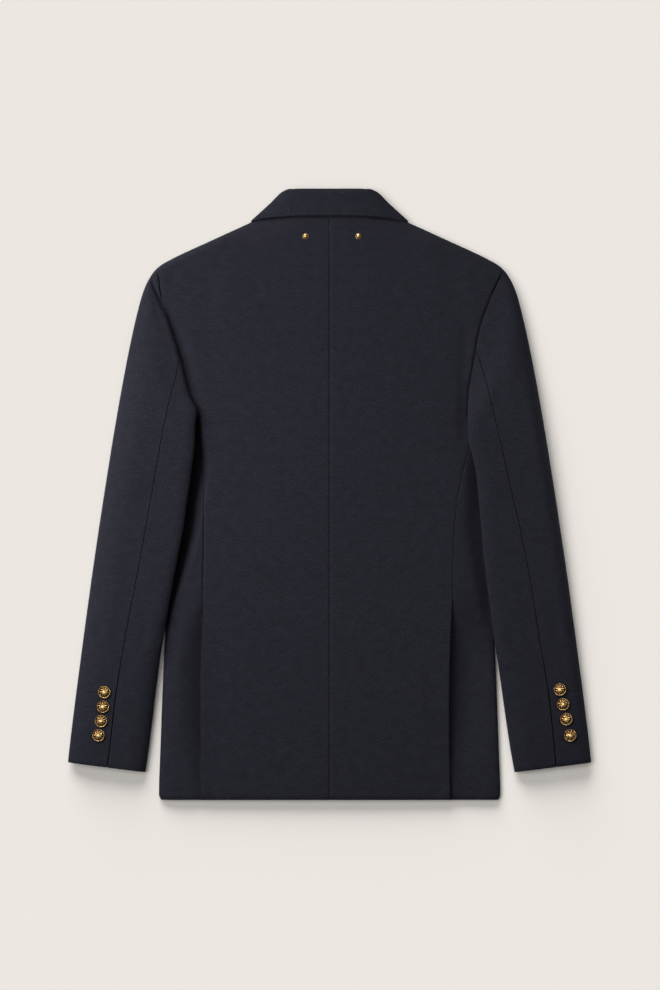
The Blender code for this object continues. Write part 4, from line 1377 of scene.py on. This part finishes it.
def slope_axis(height_at, x, y, side):
    """The direction square to the cloth at a place."""
    step = SLOPE_STEP
    along_x = float(height_at(x + step, y) - height_at(x - step, y)) / (2 * step)
    along_y = float(height_at(x, y + step) - height_at(x, y - step)) / (2 * step)
    return Vector((-along_x * side, -along_y, 1.0)).normalized()


def sleeve_face(side):
    return lambda x, y: sleeve_top(sleeve_section(side, y), x)


def seat_on(master, name, height_at, x, y, side, turn=0.0):
    axis = slope_axis(height_at, x, y, side)
    place = Vector((side * x, y, float(height_at(x, y)))) + axis * SEAM_GAP
    return place_copy(master, name, place, axis, turn)


button_pieces = {}
for side in (-1, 1):
    for number, (row, turn) in enumerate(zip(CUFF_BUTTONS, BUTTON_TURNS), start=1):
        node = f"cuff_button_{side_name(side)}_{number}"
        button_pieces[node] = seat_on(button_master, "gilt_" + node, sleeve_face(side),
                                      *cuff_button_place(row, side), side, turn)
front_places = [(x, y) for y in FRONT_BUTTON_Y for x in (-FRONT_BUTTON_X, FRONT_BUTTON_X)]
for number, (x, y) in enumerate(front_places, start=1):
    node = f"front_button_{number}"
    place = (x, y, BUTTON_HEIGHT * FRONT_BUTTON_SCALE)
    button_pieces[node] = place_copy(button_master, "gilt_" + node, place, (0, 0, -1),
                                     FRONT_BUTTON_TURN * number, FRONT_BUTTON_SCALE)
bpy.data.objects.remove(button_master)
print(len(button_pieces), "buttons")

# %% [markdown]
# ## Two plain studs
#
# Below the collar there are two small gilt studs. Each is a low dome with a flat rim, modelled like
# the button from a short cylinder whose top face is inset and raised.

# %% Studs
STUD_RADIUS = 3.6
STUD_Y = 313.7
STUD_X = {-1: 29.2, 1: 35.1}
STUD_BODY = 0.5
STUD_RINGS = (
    Ring(0.35, 0.10), Ring(0.35, -0.05), Ring(0.25, 0.30), Ring(0.75, 0.75), Ring(0.95, 0.35),
)
STUD_FACETS = 24
STUD_DITCH = 2.85
STUD_DITCH_HALF = 0.3
STUD_TONES = (0.1, 0.62)


def model_stud():
    stud = round_off(start_disc(STUD_FACETS, STUD_RADIUS, 0.0, STUD_BODY, STUD_RINGS))
    stud.data.materials.append(gilt)
    relief = stud.data.attributes.new("relief", "FLOAT", "POINT")
    away = np.array([math.hypot(vert.co.x, vert.co.y) for vert in stud.data.vertices]) / MM
    in_ditch = np.abs(away - STUD_DITCH) < STUD_DITCH_HALF
    relief.data.foreach_set("value", np.where(in_ditch, *STUD_TONES))
    return stud


stud_master = model_stud()
studs = {}
for side in (-1, 1):
    node = "stud_" + side_name(side)
    face = lambda x, y, side=side: back_face(side, x, y)
    studs[node] = seat_on(stud_master, "gilt_" + node, face, STUD_X[side], STUD_Y, side)
bpy.data.objects.remove(stud_master)
print(len(studs), "studs")

# %% [markdown]
# ## Stitches
#
# A line of small stitches runs along the collar's edge. One stitch is modelled as a short rounded
# bar, and copies of its points are set along the collar, each turned to follow the edge and sunk
# half way into the cloth. All of them make one mesh, because eighty objects would be no use to
# anyone.

# %% Stitch
STITCH_LENGTH = 2.9
STITCH_WIDTH = 0.42
STITCH_BEVEL = 0.16


def model_stitch():
    bpy.ops.object.select_all(action="DESELECT")
    bpy.ops.mesh.primitive_cube_add(size=1.0, location=(0.0, 0.0, 0.0))
    stitch = bpy.context.object
    stitch.scale = (STITCH_LENGTH * MM, STITCH_WIDTH * MM, STITCH_WIDTH * MM)
    bpy.ops.object.transform_apply(location=True, rotation=True, scale=True)
    bpy.ops.object.mode_set(mode="EDIT")
    bpy.ops.mesh.select_all(action="SELECT")
    bpy.ops.mesh.bevel(offset=STITCH_BEVEL * MM, segments=1, affect="EDGES")
    bpy.ops.object.mode_set(mode="OBJECT")
    points = np.array([vert.co for vert in stitch.data.vertices]) / MM
    faces = [tuple(face.vertices) for face in stitch.data.polygons]
    bpy.data.objects.remove(stitch)
    return points, faces


stitch_points, stitch_faces = model_stitch()


def set_stitches(name, places, turns, material, size=(1.0, 1.0, 1.0)):
    """One mesh with a stitch at each place, turned by its axes: forward, across and up."""
    points = [place + stitch_points * np.array(size) @ np.array(turn)
              for place, turn in zip(places, turns)]
    faces = [tuple(k + number * len(stitch_points) for k in face)
             for number in range(len(points)) for face in stitch_faces]
    mesh = bpy.data.meshes.new(name)
    mesh.from_pydata((np.concatenate(points) * MM).tolist(), [], faces)
    mesh.shade_smooth()
    mesh.materials.append(material)
    piece = bpy.data.objects.new(name, mesh)
    bpy.context.scene.collection.objects.link(piece)
    print(name, len(points), "stitches")
    return piece


print("a stitch has", len(stitch_faces), "faces")

# %% Thread
THREAD_COLOUR = (0.0042, 0.0043, 0.0068)
THREAD_SHARES = (0.7, 1.5)


def make_thread(name, colour):
    material, tree, shader = new_material(name, {"Roughness": 0.7, "Specular IOR Level": 0.06})
    place = add_node(tree, "TexCoord")
    twist = add_node(tree, "TexNoise", {"Scale": 2500.0})
    dark, light = ([c * share for c in colour] for share in THREAD_SHARES)
    ramp = add_ramp(tree, 0.0, dark, 1.0, light)
    tree.links.new(place.outputs["Object"], twist.inputs["Vector"])
    tree.links.new(twist.outputs["Fac"], ramp.inputs["Fac"])
    tree.links.new(ramp.outputs["Color"], shader.inputs["Base Color"])
    return material


navy_thread = make_thread("navy_thread", THREAD_COLOUR)
print("thread:", navy_thread.name)

# %% Collar stitches
STITCH_PITCH = 3.7
STITCH_INSET = 5.0
STITCH_RISE = 0.02
LOOK_AHEAD = 1.0


def sew(name, line, normals, material):
    """Set stitches along a line of points, each square to its normal."""
    steps = np.linalg.norm(np.diff(line, axis=0), axis=1)
    run = np.insert(np.cumsum(steps), 0, 0.0)

    def at_run(values, at):
        return np.stack([np.interp(at, run, values[:, k]) for k in range(3)], axis=-1)

    at = np.arange(STITCH_PITCH / 2, run[-1], STITCH_PITCH)
    turns = []
    for forward, up in zip(at_run(line, at + LOOK_AHEAD) - at_run(line, at - LOOK_AHEAD),
                           at_run(normals, at)):
        forward = forward / np.linalg.norm(forward)
        up = up - forward * (up @ forward)
        up = up / np.linalg.norm(up)
        turns.append((forward, np.cross(up, forward), up))
    return set_stitches(name, at_run(line, at), turns, material)


def surface_normals(rows):
    """Unit normals over a grid of points."""
    across, up = np.gradient(rows, axis=1), np.gradient(rows, axis=0)
    normals = np.cross(across, up)
    return normals / np.linalg.norm(normals, axis=-1, keepdims=True)


def collar_stitch_line():
    """The line that lies a stitch inset inside the fall's edge, on its outer face."""
    normals = surface_normals(collar_rows)
    line, ups = [], []
    for row, normal, along in zip(collar_rows, normals, collar_along):
        at = along[-1] - STITCH_INSET
        up = np.array([np.interp(at, along, normal[:, k]) for k in range(3)])
        place = np.array([np.interp(at, along, row[:, k]) for k in range(3)])
        line.append(place + up * (COLLAR_THICKNESS / 2 + STITCH_RISE))
        ups.append(up)
    return np.array(line), np.array(ups)


collar_stitches = sew("collar_stitches", *collar_stitch_line(), navy_thread)

# %% [markdown]
# ## Cuff buttonholes
#
# Each cuff button has a worked buttonhole that runs from it towards the sleeve's outer edge. It is
# a bar of stitches set side by side. The same stitch serves here, made shorter and wider, laid
# across the slit and on the slope of the sleeve.

# %% Cuff buttonholes
HOLE_START = 7.4
HOLE_LENGTH = 14.5
HOLE_PITCH = 0.62
HOLE_SINK = 0.05
HOLE_SLANT = 0.06
HOLE_STITCH = (0.62, 1.3, 1.0)


def make_buttonholes(side):
    """All the worked buttonholes of one cuff as one mesh."""
    face = sleeve_face(side)
    places, turns = [], []
    for row in CUFF_BUTTONS:
        x, y = cuff_button_place(row, side)
        for away in np.arange(HOLE_START, HOLE_START + HOLE_LENGTH, HOLE_PITCH):
            spot_x, spot_y = x + away, y + away * HOLE_SLANT
            up = slope_axis(face, spot_x, spot_y, side)
            forward = Vector((0.0, 1.0, 0.0))
            forward = (forward - up * forward.dot(up)).normalized()
            height = float(face(spot_x, spot_y)) - HOLE_SINK
            places.append(np.array([side * spot_x, spot_y, height]))
            turns.append((forward, up.cross(forward), up))
    return set_stitches("buttonholes_" + side_name(side), places, turns, navy_thread, HOLE_STITCH)


buttonholes = {side: make_buttonholes(side) for side in (-1, 1)}

# %% [markdown]
# ## The floor, the light and the camera
#
# The blazer lies on a plain pale floor. Three soft suns stand above and to the left of the collar,
# so the shadow is short and falls below the hem and to the right. Dark cloth shows its form only by
# light that grazes it, so a low softbox on the left and a weak card on the right light the cloth
# alone and leave the floor even. The camera looks straight down with a long lens.

# %% Floor
FLOOR_COLOUR = (0.80, 0.7605, 0.718)
FLOOR_SIZE = 8.0
FLOOR_DROP = 0.0002

bpy.ops.object.select_all(action="DESELECT")
bpy.ops.mesh.primitive_plane_add(size=FLOOR_SIZE, location=(0.0, 0.0, -FLOOR_DROP))
floor = bpy.context.object
floor.name = "floor"
floor.data.materials.append(new_material("pale_floor", {
    "Base Color": (*FLOOR_COLOUR, 1.0), "Roughness": 0.9, "Specular IOR Level": 0.0})[0])
print("floor", FLOOR_SIZE, "m")

# %% Light
def add_light(name, kind, energy, towards, **settings):
    lamp = bpy.data.lights.new(name, kind)
    lamp.energy = energy
    for key, value in settings.items():
        setattr(lamp, key, value)
    holder = bpy.data.objects.new(name, lamp)
    bpy.context.scene.collection.objects.link(holder)
    holder.rotation_euler = Vector(towards).to_track_quat("-Z", "Y").to_euler()
    return holder


Sun = namedtuple("Sun", "name turn height angle share")
SUNS = (
    Sun("top_window", 15.0, 22.0, 46.0, 0.46),
    Sun("left_window", 82.0, 60.0, 34.0, 0.31),
    Sun("ceiling", 0.0, 88.0, 50.0, 0.17),
)
FLOOR_LIGHT = 3.3
ROOM_SHARE = 0.06
Softbox = namedtuple("Softbox", "name place size power")
SOFTBOXES = (
    Softbox("left_softbox", (-0.80, 0.30, 0.70), 0.7, 38.0),
    Softbox("right_card", (0.95, 0.05, 0.42), 0.5, 5.2),
)


def from_sky(turn, height):
    """Direction to a place in the sky, turned from the collar's side towards the left."""
    turn, height = math.radians(turn), math.radians(height)
    level = math.cos(height)
    return Vector((-math.sin(turn) * level, math.cos(turn) * level, math.sin(height)))


for sun in SUNS:
    energy = FLOOR_LIGHT * sun.share / math.sin(math.radians(sun.height))
    towards = -from_sky(sun.turn, sun.height)
    add_light(sun.name, "SUN", energy, towards, angle=math.radians(sun.angle))
cloth_only = bpy.data.collections.new("lit_by_softboxes")
for piece in [*cloth_pieces, collar_stitches, *buttonholes.values()]:
    cloth_only.objects.link(piece)
for box in SOFTBOXES:
    holder = add_light(box.name, "AREA", box.power, [-c for c in box.place], size=box.size)
    holder.location = box.place
    holder.light_linking.receiver_collection = cloth_only
sky = bpy.data.worlds.new("soft_room")
sky.use_nodes = True
set_dials(sky.node_tree.nodes["Background"], {
    "Color": (1.0, 1.0, 1.0, 1.0), "Strength": FLOOR_LIGHT * ROOM_SHARE / math.pi})
bpy.context.scene.world = sky
bpy.context.scene.view_settings.view_transform = "Standard"
print(len(SUNS), "soft suns, and the room gives", ROOM_SHARE, "of the light")

# %% Camera
PIXEL = 1.22
PICTURE_ROWS = 990
LENS = 200.0
SENSOR = 36.0
CAMERA_HEIGHT = PICTURE_ROWS * PIXEL * LENS / SENSOR
CAMERA_SHIFT = (0.5, -0.9)
SIGHT = 20.0

eye = bpy.data.cameras.new("eye")
eye.lens = LENS
eye.sensor_width = SENSOR
eye.clip_end = SIGHT
camera = bpy.data.objects.new("eye", eye)
camera.location = [c * MM for c in (*CAMERA_SHIFT, CAMERA_HEIGHT)]
bpy.context.scene.collection.objects.link(camera)
bpy.context.scene.camera = camera
print("camera", round(CAMERA_HEIGHT), "mm up")

# %% [markdown]
# ## Handing the pieces over
#
# Every piece rides on the body of the imported model, and each piece that takes the place of a node
# hides that node. Every sheet also states the rectangle that it is cut from, and how it lies.

# %% Ride and replace
BODY = "root"
NODES = {}
for side in (-1, 1):
    name = side_name(side)
    NODES.update({
        backs[side]: "back_" + name, sides[side]: "side_" + name, fronts[side]: "front_" + name,
        lapels[side]: "lapel_" + name, upper_sleeves[side]: "sleeve_upper_" + name,
        under_sleeves[side]: "sleeve_under_" + name})
NODES[collar] = "collar"
for piece, node in NODES.items():
    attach(piece, BODY)
    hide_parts(node)
for node, piece in {**button_pieces, **studs}.items():
    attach(piece, BODY)
    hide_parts(node)
stitched = (collar_stitches, *buttonholes.values())
for piece in stitched:
    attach(piece, BODY)
print(len(NODES) + len(button_pieces) + len(studs) + len(stitched), "pieces")

# %% Sheets
Cut = namedtuple("Cut", "width length held rests_on")
for piece in cloth_pieces:
    if piece is collar:
        continue
